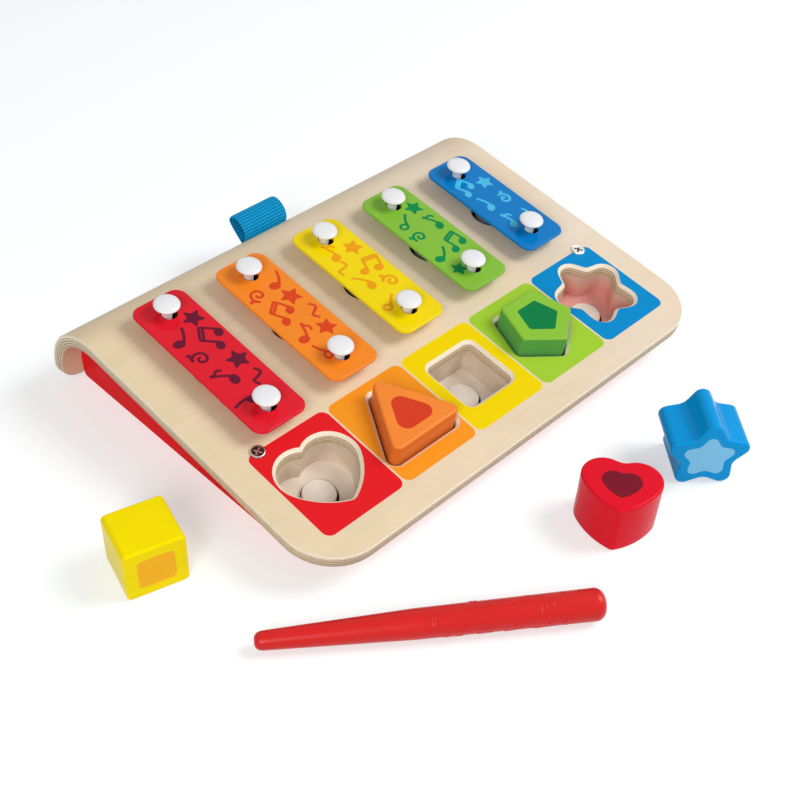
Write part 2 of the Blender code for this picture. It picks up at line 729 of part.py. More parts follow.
# Bars, pins and the rubber spacers between the bars and the board
pin_foot = -board_thickness - bar_top_w
pin_profile = [
    (0, pin_cap_height),
    (pin_cap_radius / 2, pin_cap_height - (pin_cap_height - pin_rim_height) / 4),
    (pin_cap_radius * cos(pi / 6), pin_rim_height + (pin_cap_height - pin_rim_height) / 2),
    (pin_cap_radius, pin_rim_height),
    (pin_cone_radius, pin_cone_height),
    (pin_stem_radius, pin_neck_height),
    (pin_stem_radius, pin_foot),
    (0, pin_foot),
]
pin_clear = pin_stem_radius + pin_stem_clearance
spacer_top_w = bar_bottom_w - seat_gap
for colour, x, length in zip(colours, row_x, bar_lengths):
    half_length = length / 2
    half_width = bar_width / 2
    corners = [(-half_width, -half_length), (half_width, -half_length), (half_width, half_length),
               (-half_width, half_length)]
    bar_outline = rounded(corners, [bar_corner_radius] * 4, 5)
    bar_mesh = slab("bar_" + colour, bar_outline, bar_thickness, bar_edge_round, 0)
    smooth(bar_mesh)
    bar = keep("bar_" + colour, bar_mesh, enamels[colour], board_frame, (x, bar_centre_v, bar_bottom_w))
    for end, sign in (("front", -1), ("rear", 1)):
        name = colour + "_" + end
        reach = sign * (half_length - pin_end_distance)
        hole = rod_mesh("bar_hole_" + name, bar_hole_radius, -overrun, bar_thickness + overrun, 20)
        cut(bar, keep_cutter(hole.name, hole, bar, (0, reach, 0)))
        place = (x, bar_centre_v + reach)
        socket = rod_mesh("pin_hole_" + name, pin_clear, -board_thickness - overrun, overrun, 14)
        cut(board, keep_cutter(socket.name, socket, board_frame, (*place, 0)))
        turned("pin_" + name, pin_profile, white_plastic, board_frame, (*place, bar_top_w), 14)
        spacer_profile = [(pin_clear, spacer_top_w), (spacer_radius, spacer_top_w), (spacer_radius, seat_gap),
                          (pin_clear, seat_gap), (pin_clear, spacer_top_w)]
        turned("spacer_" + name, spacer_profile, black_rubber, board_frame, (*place, 0), 14)


# Two screws from the board into the well block
screw_profile = [
    (0, screw_head_height),
    (screw_head_radius / 2, screw_head_height - screw_head_height / 8),
    (screw_head_radius * cos(pi / 6), screw_head_height / 2),
    (screw_head_radius, seat_gap),
    (screw_shank_radius, seat_gap),
    (screw_shank_radius, -screw_length),
    (0, -screw_length - screw_shank_radius),
]
screw_clear = screw_shank_radius + seat_gap
screw_x = board_width / 2 - screw_side_distance
screw_v = well_block_rear_v - screw_rear_distance
for name, sign in (("board_screw_left", -1), ("board_screw_right", 1)):
    place = (sign * screw_x, screw_v, 0)
    turned(name, screw_profile, steel, board_frame, place, 14)
    for target, suffix in ((board, "_board_hole"), (well_block, "_block_hole"), (well_floor, "_floor_hole")):
        hole = rod_mesh(name + suffix, screw_clear, -screw_length - overrun, overrun, 12)
        cut(target, keep_cutter(hole.name, hole, board_frame, place))


# Webbing loop: one strap bent into a loop, its two ends through a slot in the curl
def smooth_path(points, steps=5):
    # Points along a smooth curve through the given ones (Catmull-Rom).
    path = []
    last = len(points) - 1
    for k in range(last):
        before = np.array(points[max(k - 1, 0)])
        here = np.array(points[k])
        after = np.array(points[k + 1])
        beyond = np.array(points[min(k + 2, last)])
        for step in range(steps):
            t = step / steps
            path.append((2 * here + (after - before) * t
                         + (2 * before - 5 * here + 4 * after - beyond) * t ** 2
                         + (3 * here - before - 3 * after + beyond) * t ** 3) / 2)
    path.append(np.array(points[-1]))
    return path


def strap_mesh(name, path, width):
    # An open ribbon along the path, its width along X, from a curve with an extrude.
    curve = bpy.data.curves.new(name, "CURVE")
    curve.dimensions = "2D"
    curve.fill_mode = "NONE"
    curve.extrude = width / 2
    line = curve.splines.new("POLY")
    line.points.add(len(path) - 1)
    for point, place in zip(line.points, path):
        point.co = (place[0], place[1], 0, 1)
    holder = bpy.data.objects.new(name, curve)
    parts.objects.link(holder)
    bpy.context.view_layer.update()
    mesh = bpy.data.meshes.new_from_object(holder.evaluated_get(bpy.context.evaluated_depsgraph_get()))
    bpy.data.objects.remove(holder, do_unlink=True)
    bpy.data.curves.remove(curve)
    mesh.transform(Matrix(((0, 0, 1, 0), (1, 0, 0, 0), (0, 1, 0, 0), (0, 0, 0, 1))))
    return mesh


def around_curl(radius, angle):
    return (curl_centre_y - base_middle_y + radius * cos(angle), curl_centre_z + radius * sin(angle))


def beside_slot(side, radius, sideways):
    # A place at this distance above (1) or below (-1) the slot's middle line.
    return around_curl(radius, loop_slot_angle + side * sideways / radius)


strap_half = (loop_thickness + loop_strap_gap) / 2
tail_radius = inner_radius - loop_bend_radius
loop_root = np.array(around_curl(curl_radius, loop_slot_angle))
loop_along = np.array([cos(loop_slot_angle + loop_lean), sin(loop_slot_angle + loop_lean)])
loop_across = np.array([-loop_along[1], loop_along[0]])


def loop_point(length_share, bulge_share):
    return tuple(loop_root + loop_along * loop_length * length_share + loop_across * loop_bulge * bulge_share)


# Places round the loop, from the lower strap over the far end to the upper strap
loop_shares = ((0.14, -0.12), (0.45, -0.14), (0.75, -0.12), (0.92, -0.02), (0.97, 0.22), (0.88, 0.60),
               (0.66, 0.88), (0.42, 0.90), (0.22, 0.66), (0.09, 0.28))


def strap_end(side):
    # From the tail's end, along the inside of the curl, round the slot's edge and out.
    bend = loop_bend_radius
    tail_start = strap_half + bend
    end = [beside_slot(side, tail_radius, tail_start + loop_tail_length * share) for share in (1, 0.5, 0)]
    for turn in (pi / 4, pi / 2):
        end.append(beside_slot(side, inner_radius - bend * cos(turn), strap_half + bend * (1 - sin(turn))))
    end.append(beside_slot(side, curl_radius, strap_half))
    return end


loop_points = strap_end(-1) + [loop_point(*share) for share in loop_shares] + strap_end(1)[::-1]
loop_mesh = strap_mesh("webbing_loop", smooth_path(loop_points, 2), loop_width)
smooth(loop_mesh)
loop = keep("webbing_loop", loop_mesh, blue_webbing)
loop_body = loop.modifiers.new("strap", "SOLIDIFY")
loop_body.thickness = loop_thickness
loop_body.offset = 0.0

slot_half_width = loop_width / 2 + loop_slot_clearance
slot_mesh = bpy.data.meshes.new("loop_slot")
slot_shell = bmesh.new()
bmesh.ops.create_cube(slot_shell, size=1.0)
bmesh.ops.scale(slot_shell, verts=slot_shell.verts,
                vec=(2 * slot_half_width, board_thickness + 2 * overrun, loop_slot_height))
slot_shell.to_mesh(slot_mesh)
slot_shell.free()
slot_place = around_curl((curl_radius + inner_radius) / 2, loop_slot_angle)
slot = keep_cutter("loop_slot", slot_mesh, None, (0, *slot_place))
slot.rotation_euler = (loop_slot_angle, 0, 0)
cut(board, slot)


# Blocks: triangle and pentagon stand on their pegs, the others lie by the board
def block_mesh(name, outline):
    mesh = slab(name, outline, block_height, block_edge_round, 1)
    smooth(mesh)
    return mesh


triangle_mesh = block_mesh("triangle_block", triangle_outline(0.0))
keep("triangle_block", triangle_mesh, paints["orange"], board_frame, (row_x[1], triangle_v, block_bottom_w))
pentagon_mesh = block_mesh("pentagon_block", pentagon_outline(0.0))
keep("pentagon_block", pentagon_mesh, paints["green"], board_frame, (row_x[3], row_v, block_bottom_w))


def floor_place(place):
    return (place[0] - board_width / 2, place[1] - base_middle_y)


heart = keep("heart_block", block_mesh("heart_block", heart_outline(0.0)), paints["red"])
heart.location = (*floor_place(heart_block_place), 0)
heart.rotation_euler = (0, 0, heart_block_turn)

yellow = keep("square_block", block_mesh("square_block", square_outline(0.0)), paints["yellow"])
yellow.rotation_euler = (pi / 2, 0, yellow_block_turn)
yellow_middle = floor_place(yellow_block_place)
yellow.location = (yellow_middle[0] - block_height / 2 * sin(yellow_block_turn),
                   yellow_middle[1] + block_height / 2 * cos(yellow_block_turn), square_half)

# The star stands on two tips, its axis level
star_points = star_outline(0.0)
star_drop = -min(y for _, y in star_points)
star = keep("star_block", block_mesh("star_block", star_points), paints["blue"])
star.rotation_euler = (pi / 2, 0, star_block_turn)
star_middle = floor_place(star_block_place)
star.location = (star_middle[0] - block_height / 2 * sin(star_block_turn),
                 star_middle[1] + block_height / 2 * cos(star_block_turn), star_drop)


# Tapered stick, lying on its thick half
stick_middle = stick_length * stick_middle_share
stick_profile = [(0, stick_length)]
stick_profile += [(stick_thick_radius - stick_end_round * (1 - sin(turn)),
                   stick_length - stick_end_round * (1 - cos(turn)))
                  for turn in (0, pi / 6, pi / 3, pi / 2)]
stick_profile += [(stick_middle_radius, stick_middle)]
for share in (0.75, 0.5, 0.25):
    widen = (stick_middle_radius - stick_thin_radius) * share
    stick_profile.append((stick_thin_radius + widen, stick_middle * share))
stick_profile += [(stick_thin_radius, stick_end_round), (stick_thin_radius - stick_end_round / 2, 0), (0, 0)]
thick_half_length = stick_length - stick_end_round - stick_middle
stick_lean = asin((stick_thick_radius - stick_middle_radius) / thick_half_length)
stick = turned("tapered_stick", stick_profile, red_paint, None, (0, 0, 0), 20)
stick.rotation_euler = (0, pi / 2 - stick_lean, stick_turn)
stick.location = (*floor_place(stick_thin_place), stick_middle_radius - stick_middle * sin(stick_lean))
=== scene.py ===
# %% [markdown]
# # A shape sorter xylophone in bent plywood
# One bent plywood sheet carries five shaped wells, five enamelled bars and the pins that hold them.
# Blocks, a beater stick and a webbing loop complete the toy. The moving model comes first, as a frame
# that is never changed, and finer pieces are then dressed over it in the same place.

# %% Load the frame
from math import acos, asin, atan2, cos, pi, radians, sin, sqrt, tan

import bmesh
import bpy
import numpy as np
from mathutils import Matrix, Vector


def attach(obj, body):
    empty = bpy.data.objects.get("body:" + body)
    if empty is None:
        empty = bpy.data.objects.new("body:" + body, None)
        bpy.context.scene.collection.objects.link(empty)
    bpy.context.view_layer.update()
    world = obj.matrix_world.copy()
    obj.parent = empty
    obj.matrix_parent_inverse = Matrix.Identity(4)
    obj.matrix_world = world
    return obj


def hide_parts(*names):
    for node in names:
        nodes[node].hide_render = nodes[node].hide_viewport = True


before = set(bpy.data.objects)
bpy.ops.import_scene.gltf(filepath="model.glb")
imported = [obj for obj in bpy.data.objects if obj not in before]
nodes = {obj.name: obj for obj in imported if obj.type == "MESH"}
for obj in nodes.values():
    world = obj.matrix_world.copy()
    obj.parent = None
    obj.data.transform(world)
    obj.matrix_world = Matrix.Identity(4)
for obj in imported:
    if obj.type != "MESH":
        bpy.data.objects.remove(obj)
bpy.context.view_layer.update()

# %% [markdown]
# The board slopes, so most sizes are easier in its own frame: x across, v up the slope from the front
# edge and w square to the board, with 0 on its top face. One matrix takes a mesh from there to the floor.

# %% Sizes of the board
tilt = radians(7.5)
front_height, base_middle_y = 0.0275, 0.1297092
board_width, board_thickness = 0.340, 0.0085
flat_length, curl_radius = 0.2075, 0.044
row_pitch, row_v = 0.0609, 0.055982
colours = ("red", "orange", "yellow", "green", "blue")
row_x = [row_pitch * (place - 2) for place in range(5)]
board_place = Matrix.Translation((0, -base_middle_y, front_height)) @ Matrix.Rotation(tilt, 4, "X")
print("row of wells at x", [round(1000 * x, 1) for x in row_x], "mm")

# %% [markdown]
# ## Camera and studio
# A small product is photographed from well above, with a long lens. The camera stands at the left front.
# Its place and turn are given as a matrix, because it was measured that way round.

# %% Camera
def put_in_scene(name, data):
    made = bpy.data.objects.new(name, data)
    bpy.context.scene.collection.objects.link(made)
    return made


camera_at, focal_length = (-0.45971, -0.44252, 0.56222), 57.68
right = Vector((0.7083, -0.7046, 0.0433)).normalized()
ahead = Vector((0.5338, 0.4943, -0.6861)).normalized()
above = right.cross(ahead).normalized()
right = ahead.cross(above)
camera_data = bpy.data.cameras.new("studio_camera")
camera_data.lens = focal_length
camera_data.sensor_width = 36.0
camera = put_in_scene("studio_camera", camera_data)
turned_round = Matrix((right, above, -ahead)).transposed().to_4x4()
camera.matrix_world = Matrix.Translation(camera_at) @ turned_round
bpy.context.scene.camera = camera
print("camera looks along", [round(n, 3) for n in ahead])

# %% [markdown]
# Every finish is written with the colours that a paint shop would match, as sRGB hex values. The shader
# wants linear light, so one function turns them. One more function adds a node, sets it and links it: a
# list fills the node's sockets in their order, and a dictionary names them or gives their numbers, such
# as 6 and 7 for the two colours of a Mix node.

# %% Colours and nodes
def linear(hex_colour):
    parts = [int(hex_colour[k:k + 2], 16) / 255 for k in (1, 3, 5)]
    return tuple(c / 12.92 if c <= 0.04045 else ((c + 0.055) / 1.055) ** 2.4 for c in parts) + (1.0,)


def feed(tree, node, links):
    # Sets a node's inputs, each to a plain value or to what another node gives.
    for place, value in links.items() if isinstance(links, dict) else enumerate(links):
        if isinstance(value, bpy.types.Node):
            value = next(output for output in value.outputs if output.enabled)
        if isinstance(value, bpy.types.NodeSocket):
            tree.links.new(value, node.inputs[place])
        else:
            node.inputs[place].default_value = value


def add(tree, kind, links=(), **settings):
    made = tree.nodes.new(kind)
    for name, value in settings.items():
        setattr(made, name, value)
    feed(tree, made, links)
    return made


def ramp(node, stops, interpolation="LINEAR"):
    # Fills a Color Ramp with (place, hex colour) stops.
    bar = node.color_ramp
    bar.interpolation = interpolation
    while len(bar.elements) > 1:
        bar.elements.remove(bar.elements[-1])
    for k, (place, colour) in enumerate(stops):
        stop = bar.elements[0] if k == 0 else bar.elements.new(place)
        stop.position = place
        stop.color = linear(colour)
    return node


def new_finish(name):
    made = bpy.data.materials.new(name)
    made.use_nodes = True
    return made, made.node_tree, made.node_tree.nodes["Principled BSDF"]

# %% [markdown]
# The floor is white paper that keeps the toy's soft shadow. Camera rays get a little light from the paper
# itself, so that it reads as white, while the lamps stay at the level that suits the toy.

# %% Paper floor
def seen_directly(tree):
    # 1 for what the camera sees, straight or in metal and gloss, and 0 for light that falls on the toy.
    ray = add(tree, "ShaderNodeLightPath").outputs
    in_metal, in_glass = ray["Is Glossy Ray"], ray["Is Transmission Ray"]
    mirrored = add(tree, "ShaderNodeMath", [in_metal, in_glass], operation="MAXIMUM")
    return add(tree, "ShaderNodeMath", [ray["Is Camera Ray"], mirrored], operation="MAXIMUM")


paper_colour, paper_light, paper_glow = (0.67, 0.695, 0.695, 1.0), (0.985, 1.0, 1.0, 1.0), 0.46
floor_mesh = bpy.data.meshes.new("paper_floor")
sheet_of_paper = bmesh.new()
bmesh.ops.create_grid(sheet_of_paper, x_segments=2, y_segments=2, size=6.0)
sheet_of_paper.to_mesh(floor_mesh)
sheet_of_paper.free()
floor = put_in_scene("paper_floor", floor_mesh)
paper, tree, shader = new_finish("matt_white_paper")
glow = add(tree, "ShaderNodeMath", [seen_directly(tree), paper_glow], operation="MULTIPLY")
feed(tree, shader, {"Base Color": paper_colour, "Roughness": 0.9, "Specular IOR Level": 0.0,
                    "Emission Color": paper_light, "Emission Strength": glow})
floor.data.materials.append(paper)
print("paper gives", paper_glow, "of its own light to the camera")

# %% [markdown]
# The sky is plain white for the camera and much dimmer for the toy. The main lamp is wide and stands at
# the right, a second one stands at the left, and both give soft shadows.

# %% Sky and lamps
sky_on_toy, sky_seen = 0.28, 1.0
world = bpy.data.worlds.new("studio")
bpy.context.scene.world = world
world.use_nodes = True
tree = world.node_tree
level = add(tree, "ShaderNodeMapRange", [seen_directly(tree), 0.0, 1.0, sky_on_toy, sky_seen])
feed(tree, tree.nodes["Background"], {"Color": (1.0, 1.0, 1.0, 1.0), "Strength": level})


def lamp(name, place, diameter, power):
    # A soft round lamp that looks at the middle of the toy.
    data = bpy.data.lights.new(name, "AREA")
    data.shape = "DISK"
    data.size = diameter
    data.energy = power
    turned = (-Vector(place)).to_track_quat("-Z", "Y").to_matrix().to_4x4()
    put_in_scene(name, data).matrix_world = Matrix.Translation(place) @ turned


lamp("main_lamp", (1.15, -0.90, 1.55), diameter=1.20, power=26.0)
lamp("left_lamp", (-1.35, -0.80, 1.05), diameter=0.8, power=14.5)
bpy.context.scene.view_settings.view_transform = "Standard"

# %% [markdown]
# ## Shapes of wood
# Boards, blocks and bars are all flat sheets whose outline is cut and whose edges are then softened with
# a router. So each outline is a function of how far it has grown: the edge of a block or the rim of a
# hole is the same outline, drawn a little smaller or larger at each level.

# %% Round and straight outlines
def arc(centre, radius, start, end, steps):
    turns = np.linspace(start, end, steps + 1)
    return [(centre[0] + radius * cos(a), centre[1] + radius * sin(a)) for a in turns]


def rounded(corners, radii, steps=8):
    # Each corner is replaced by an arc that touches both of its edges.
    outline = []
    for k, corner in enumerate(corners):
        here = np.array(corner)
        back = np.array(corners[k - 1]) - here
        on = np.array(corners[(k + 1) % len(corners)]) - here
        back, on = back / np.linalg.norm(back), on / np.linalg.norm(on)
        half = acos(np.clip(back @ on, -1, 1)) / 2
        centre = here + (back + on) / np.linalg.norm(back + on) * radii[k] / sin(half)
        first = here + back * radii[k] / tan(half) - centre
        last = here + on * radii[k] / tan(half) - centre
        start = atan2(first[1], first[0])
        turn = (atan2(last[1], last[0]) - start + pi) % (2 * pi) - pi
        outline += arc(centre, radii[k], start, start + turn, steps)
    return outline


def round_outline(radius, steps=48):
    return lambda grow: arc((0, 0), radius + grow, 0, 2 * pi, steps)[:-1]


def box_outline(half_width, front, rear, radii):
    def outline(grow):
        corners = [(-half_width - grow, front - grow), (half_width + grow, front - grow),
                   (half_width + grow, rear + grow), (-half_width - grow, rear + grow)]
        return rounded(corners, [radius + grow for radius in radii], 12)
    return outline


def polygon_outline(sides, inradius, corner_radius, first_angle):
    def outline(grow):
        reach = (inradius + grow) / cos(pi / sides)
        turns = [first_angle + 2 * pi * k / sides for k in range(sides)]
        return rounded([(reach * cos(a), reach * sin(a)) for a in turns], [corner_radius + grow] * sides)
    return outline


triangle = polygon_outline(3, 0.0167, 0.0042, pi / 2)
square = polygon_outline(4, 0.0181, 0.0032, pi / 4)
pentagon = polygon_outline(5, 0.0200, 0.0022, -pi / 2)
print("outline points:", [len(shape(0.0)) for shape in (triangle, square, pentagon)])

# %% [markdown]
# The star is ten corners with two radii. The heart is drawn as a template maker does, with arcs that
# touch: the tip, the bulging side, the lobe and, where a block was sanded, a hollow notch.

# %% Star and heart
def star_corners(tip, notch):
    turns = [pi / 2 + pi * k / 5 for k in range(10)]
    return [((tip, notch)[k % 2] * cos(a), (tip, notch)[k % 2] * sin(a)) for k, a in enumerate(turns)]


def star_outline(tip, notch, tip_round, notch_round):
    tip_half = atan2(notch * sin(pi / 5), tip - notch * cos(pi / 5))
    least_round = 0.0004

    def outline(grow):
        corners = star_corners(tip + grow / sin(tip_half), notch + grow / sin(tip_half + pi / 5))
        return rounded(corners, [tip_round + grow, max(notch_round - grow, least_round)] * 5, 6)
    return outline


def heart_outline(size=1.0, tip_r=0.0022, notch_r=0.0):
    lobe_r, side_r, sharp_tip_r = 0.0142, 0.0452, 0.0022
    rise = tip_r - sharp_tip_r
    lobe = np.array([0.0097, 0.0245 - rise])
    apart = np.linalg.norm(lobe)
    along = ((side_r - lobe_r) ** 2 - (side_r - tip_r) ** 2 + apart ** 2) / (2 * apart)
    across = sqrt((side_r - lobe_r) ** 2 - along ** 2)
    down = -lobe / apart
    side = lobe + down * along + np.array([down[1], -down[0]]) * across
    lobe_angle, tip_angle = atan2(*(lobe - side)[::-1]), atan2(*(-side)[::-1])

    def outline(grow):
        grow = grow / size
        notch_angle = pi - acos(lobe[0] / (lobe_r + (notch_r or grow)))
        half = arc((0, 0), tip_r + grow, -pi / 2, tip_angle, 5)
        half += arc(side, side_r + grow, tip_angle, lobe_angle, 10)[1:]
        half += arc(lobe, lobe_r + grow, lobe_angle, notch_angle, 24)[1:]
        if notch_r:
            above = lobe[1] + sqrt((lobe_r + notch_r) ** 2 - lobe[0] ** 2)
            half += arc((0, above), notch_r - grow, notch_angle - pi, -pi / 2, 5)[1:]
        half += [(-x, y) for x, y in reversed(half)][1:-1]
        return [(size * x, size * (y + rise)) for x, y in half]
    return outline


star = star_outline(0.0310, 0.0168, 0.0055, 0.0076)
heart, sanded_heart = heart_outline(), heart_outline(1.0, 0.0045, 0.0090)
# Each well: its shape, its place up the slope, how much wider than the block it is, and the width of the
# rim that the router slants
wells = {"red": (heart, 0.0365, 0.0018, 0.0028), "orange": (triangle, 0.0500, 0.0011, 0.0028),
         "yellow": (square, row_v, 0.0012, 0.0030), "green": (pentagon, row_v, 0.0014, 0.0024),
         "blue": (star, row_v, 0.0018, 0.0029)}
print("wells:", {colour: len(well[0](0.0)) for colour, well in wells.items()}, "points")

# %% [markdown]
# One function makes every sheet: it stacks the outline in rings from the top face to the bottom face,
# walls them, and fills the two faces between the outer ring and the holes. An outer edge is rounded like
# a quarter circle. A hole's rim is cut by a bit that leans at 45 degrees, with both corners sanded soft.

# %% The sheet maker
def as_mesh(shell):
    bmesh.ops.recalc_face_normals(shell, faces=shell.faces)
    mesh = bpy.data.meshes.new("shell")
    shell.to_mesh(mesh)
    shell.free()
    return mesh


def wall(shell, rings):
    # Faces from each ring to the next. A ring of one vertex is a pole.
    steps = max(len(ring) for ring in rings)
    for upper, lower in zip(rings, rings[1:]):
        for k in range(steps):
            after = (k + 1) % steps
            round_face = ((upper, k), (upper, after), (lower, after), (lower, k))
            corners = [ring[step % len(ring)] for ring, step in round_face]
            shell.faces.new(list(dict.fromkeys(corners)))


def ring_edges(shell, ring):
    return [shell.edges.get((ring[k], ring[k - 1])) for k in range(len(ring))]


def quarter(radius, steps):
    # A quarter circle, as (how far in, how far down) from a sheet's corner.
    return [(radius * (1 - sin(t)), radius * (1 - cos(t))) for t in np.linspace(0, pi / 2, steps + 1)]


slant = ((1.0, 0.0), (0.92, 0.015), (0.80, 0.07), (0.24, 0.60), (0.10, 0.76), (0.03, 0.90), (0.0, 1.0))


def cut_sheet(outline, top, bottom, edge_round, holes=(), steps=4):
    # holes are (outline, (x, y), width of the slanted rim). Gives a closed mesh in its own flat frame.
    shell = bmesh.new()
    bend = quarter(edge_round, steps)
    levels = [(0.0, top), (0.0, bottom)]
    if edge_round:
        levels = [(-out, top - down) for out, down in bend]
        levels += [(-out, bottom + down) for out, down in bend[::-1]]
    cuts = [(outline, (0, 0), levels)]
    for shape, place, rim in holes:
        rim_levels = [(rim * out, top - rim * down) for out, down in slant] if rim else [(0.0, top)]
        cuts.append((shape, place, rim_levels + [(0.0, bottom)]))
    faces = [[], []]
    for shape, (x, y), levels in cuts:
        rings = [[shell.verts.new((x + across, y + up, level)) for across, up in shape(grow)]
                 for grow, level in levels]
        wall(shell, rings)
        faces[0] += ring_edges(shell, rings[0])
        faces[1] += ring_edges(shell, rings[-1])
    for edges in faces:
        bmesh.ops.triangle_fill(shell, edges=edges, use_beauty=True)
    return as_mesh(shell)


def turn_on_lathe(profile, steps=64):
    # The profile is (radius, height) from the axis at the top to the axis below.
    shell = bmesh.new()
    turns = np.linspace(0, 2 * pi, steps + 1)[:-1]
    rings = []
    for radius, height in profile:
        angles = turns if radius else [0]
        rings.append([shell.verts.new((radius * cos(a), radius * sin(a), height)) for a in angles])
    wall(shell, rings)
    return as_mesh(shell)

# %% [markdown]
# Each piece is dressed in the same way: moved to its place, given its finish, shaded smooth up to a
# crease, and set to ride on a body of the moving model. Weighted normals keep broad flat faces flat.

# %% Dressing the frame
def dress(name, mesh, finish, body, place=Matrix(), replaces=(), crease=35, even=True):
    mesh.name = name
    mesh.transform(place)
    mesh.materials.clear()
    mesh.materials.append(finish)
    mesh.shade_smooth()
    mesh.set_sharp_from_angle(angle=radians(crease))
    made = put_in_scene(name, mesh)
    if even:
        weigh = made.modifiers.new("even_faces", "WEIGHTED_NORMAL")
        weigh.keep_sharp = True
        weigh.weight = 90
    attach(made, body)
    if replaces:
        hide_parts(*replaces)

# %% [markdown]
# ## Lacquered birch plywood
# Birch plywood is thin veneers glued with the grain turned at each layer. On the faces the eye sees pale
# wood with faint streaks; on a cut edge it sees light and dark bands. Both come from one number, the depth
# below the top face, which works on the flat and round the curl: past the flat, depth is measured from the
# curl's middle line.

# %% Depth below the top face
def board_frame(tree):
    # The board's x, v and w at each point of a finish.
    here = add(tree, "ShaderNodeTexCoord").outputs["Object"]
    return add(tree, "ShaderNodeMapping", {"Vector": here, "Location": board_place.inverted().translation,
                                           "Rotation": (-tilt, 0, 0)})


birch, tree, shader = new_finish("lacquered_birch_plywood")
flat = board_frame(tree)
x, v, w = add(tree, "ShaderNodeSeparateXYZ", [flat]).outputs
after_flat = add(tree, "ShaderNodeMath", [v, flat_length], operation="SUBTRACT")
past = add(tree, "ShaderNodeMath", [after_flat, 0.0], operation="MAXIMUM")
lift = add(tree, "ShaderNodeMath", [w, curl_radius], operation="ADD")
from_curl = add(tree, "ShaderNodeCombineXYZ", [past, lift])
reach = add(tree, "ShaderNodeVectorMath", [from_curl], operation="LENGTH")
depth = add(tree, "ShaderNodeMath", [curl_radius, reach.outputs["Value"]], operation="SUBTRACT")
on_face = add(tree, "ShaderNodeMapRange", [depth, 0.00005, 0.00018, 1.0, 0.0])
print("depth for plies of", round(1000 * board_thickness / 5, 2), "mm")

# %% [markdown]
# The face veneer has long streaks along the board's width, about 2.4 mm wide and 60 mm long, over softer
# clouds and patches. It is painted a little paler and cooler towards the right, so the left stays warmer and
# darker: painted light and shade across the board.

# %% Face veneer
# Most of a noise lies between these two values
noise_span = (0.3, 0.7)


def grain(tree, at, per_metre, **look):
    # Noise that is drawn out, with this many spots to the metre along each axis.
    drawn_out = add(tree, "ShaderNodeMapping", {"Vector": at, "Scale": per_metre})
    return add(tree, "ShaderNodeTexNoise", {"Vector": drawn_out, "Scale": 1.0, **look})


streak_scale = (16.0, 420.0, 420.0)
streaks = grain(tree, flat, streak_scale, Detail=6.0, Roughness=0.6, Distortion=0.8)
patches = grain(tree, flat, (22.0, 40.0, 40.0), Detail=4.0, Roughness=0.6)
clouds = add(tree, "ShaderNodeTexNoise", {"Vector": flat, "Scale": 14.0, "Detail": 2.0})
face = ramp(add(tree, "ShaderNodeValToRGB", [streaks]),
            [(0.25, "#EAD2AA"), (0.50, "#ECD6B0"), (0.75, "#EFDBB8")])
# Painted light and shade: paler and cooler towards the right, warmer and darker towards the left, broken up
# by clouds
painted_light_rightwards = add(tree, "ShaderNodeMapRange", [x, -board_width / 2, board_width / 2, 0.1, 0.9])
cloudy = add(tree, "ShaderNodeMath", [painted_light_rightwards, clouds], operation="MULTIPLY")
veneer_with_painted_light = add(tree, "ShaderNodeMix", {0: cloudy, 6: face, 7: linear("#F3E4DA")}, data_type="RGBA")
blotch = add(tree, "ShaderNodeMapRange", [patches, *noise_span, 0.955, 1.03])
veneer = add(tree, "ShaderNodeVectorMath", [veneer_with_painted_light, blotch], operation="MULTIPLY")
print("streaks", [round(1000 / scale, 1) for scale in streak_scale], "mm long, wide and deep")

# %% [markdown]
# A cut edge shows five veneers, with a thin darker glue line at each join and short fibres that stand on
# end. The bands are one colour ramp over the depth.

# %% Cut edges
share = add(tree, "ShaderNodeMath", [depth, board_thickness], operation="DIVIDE")
# The face veneer's band at the top is painted paler than the face itself: painted light on the routed rims
# and cut edges
bands = ramp(add(tree, "ShaderNodeValToRGB", [share]), [
    (0.00, "#FDF1DA"), (0.24, "#FBEED6"), (0.26, "#9C7B56"), (0.29, "#9C7B56"), (0.31, "#F0E0C4"),
    (0.44, "#E8D5B6"), (0.46, "#8C6C49"), (0.50, "#8C6C49"), (0.52, "#F2E0C4"), (0.63, "#ECD9BA"),
    (0.65, "#8C6C49"), (0.69, "#8C6C49"), (0.71, "#E6D2B3"), (0.83, "#E0CBAB"), (0.85, "#90714F"),
    (0.89, "#90714F"), (0.91, "#E8D4B6"), (1.00, "#E4CFB0")])
fibres = grain(tree, flat, (900.0, 900.0, 120.0), Detail=3.0)
shade = add(tree, "ShaderNodeMapRange", [fibres, *noise_span, 0.90, 1.04])
edge = add(tree, "ShaderNodeVectorMath", [bands, shade], operation="MULTIPLY")
wood = add(tree, "ShaderNodeMix", {0: on_face, 6: edge, 7: veneer}, data_type="RGBA")
print("bands of the cut edge:", len(bands.color_ramp.elements), "stops")

# %% [markdown]
# The five tiles are screen printed on the top face alone, so they stop where the router has cut a hole's
# rim. A tile's number comes from x, and its rounded outline is a distance from a smaller box. The printed
# edge is soft over a tenth of a millimetre, as screen ink is.

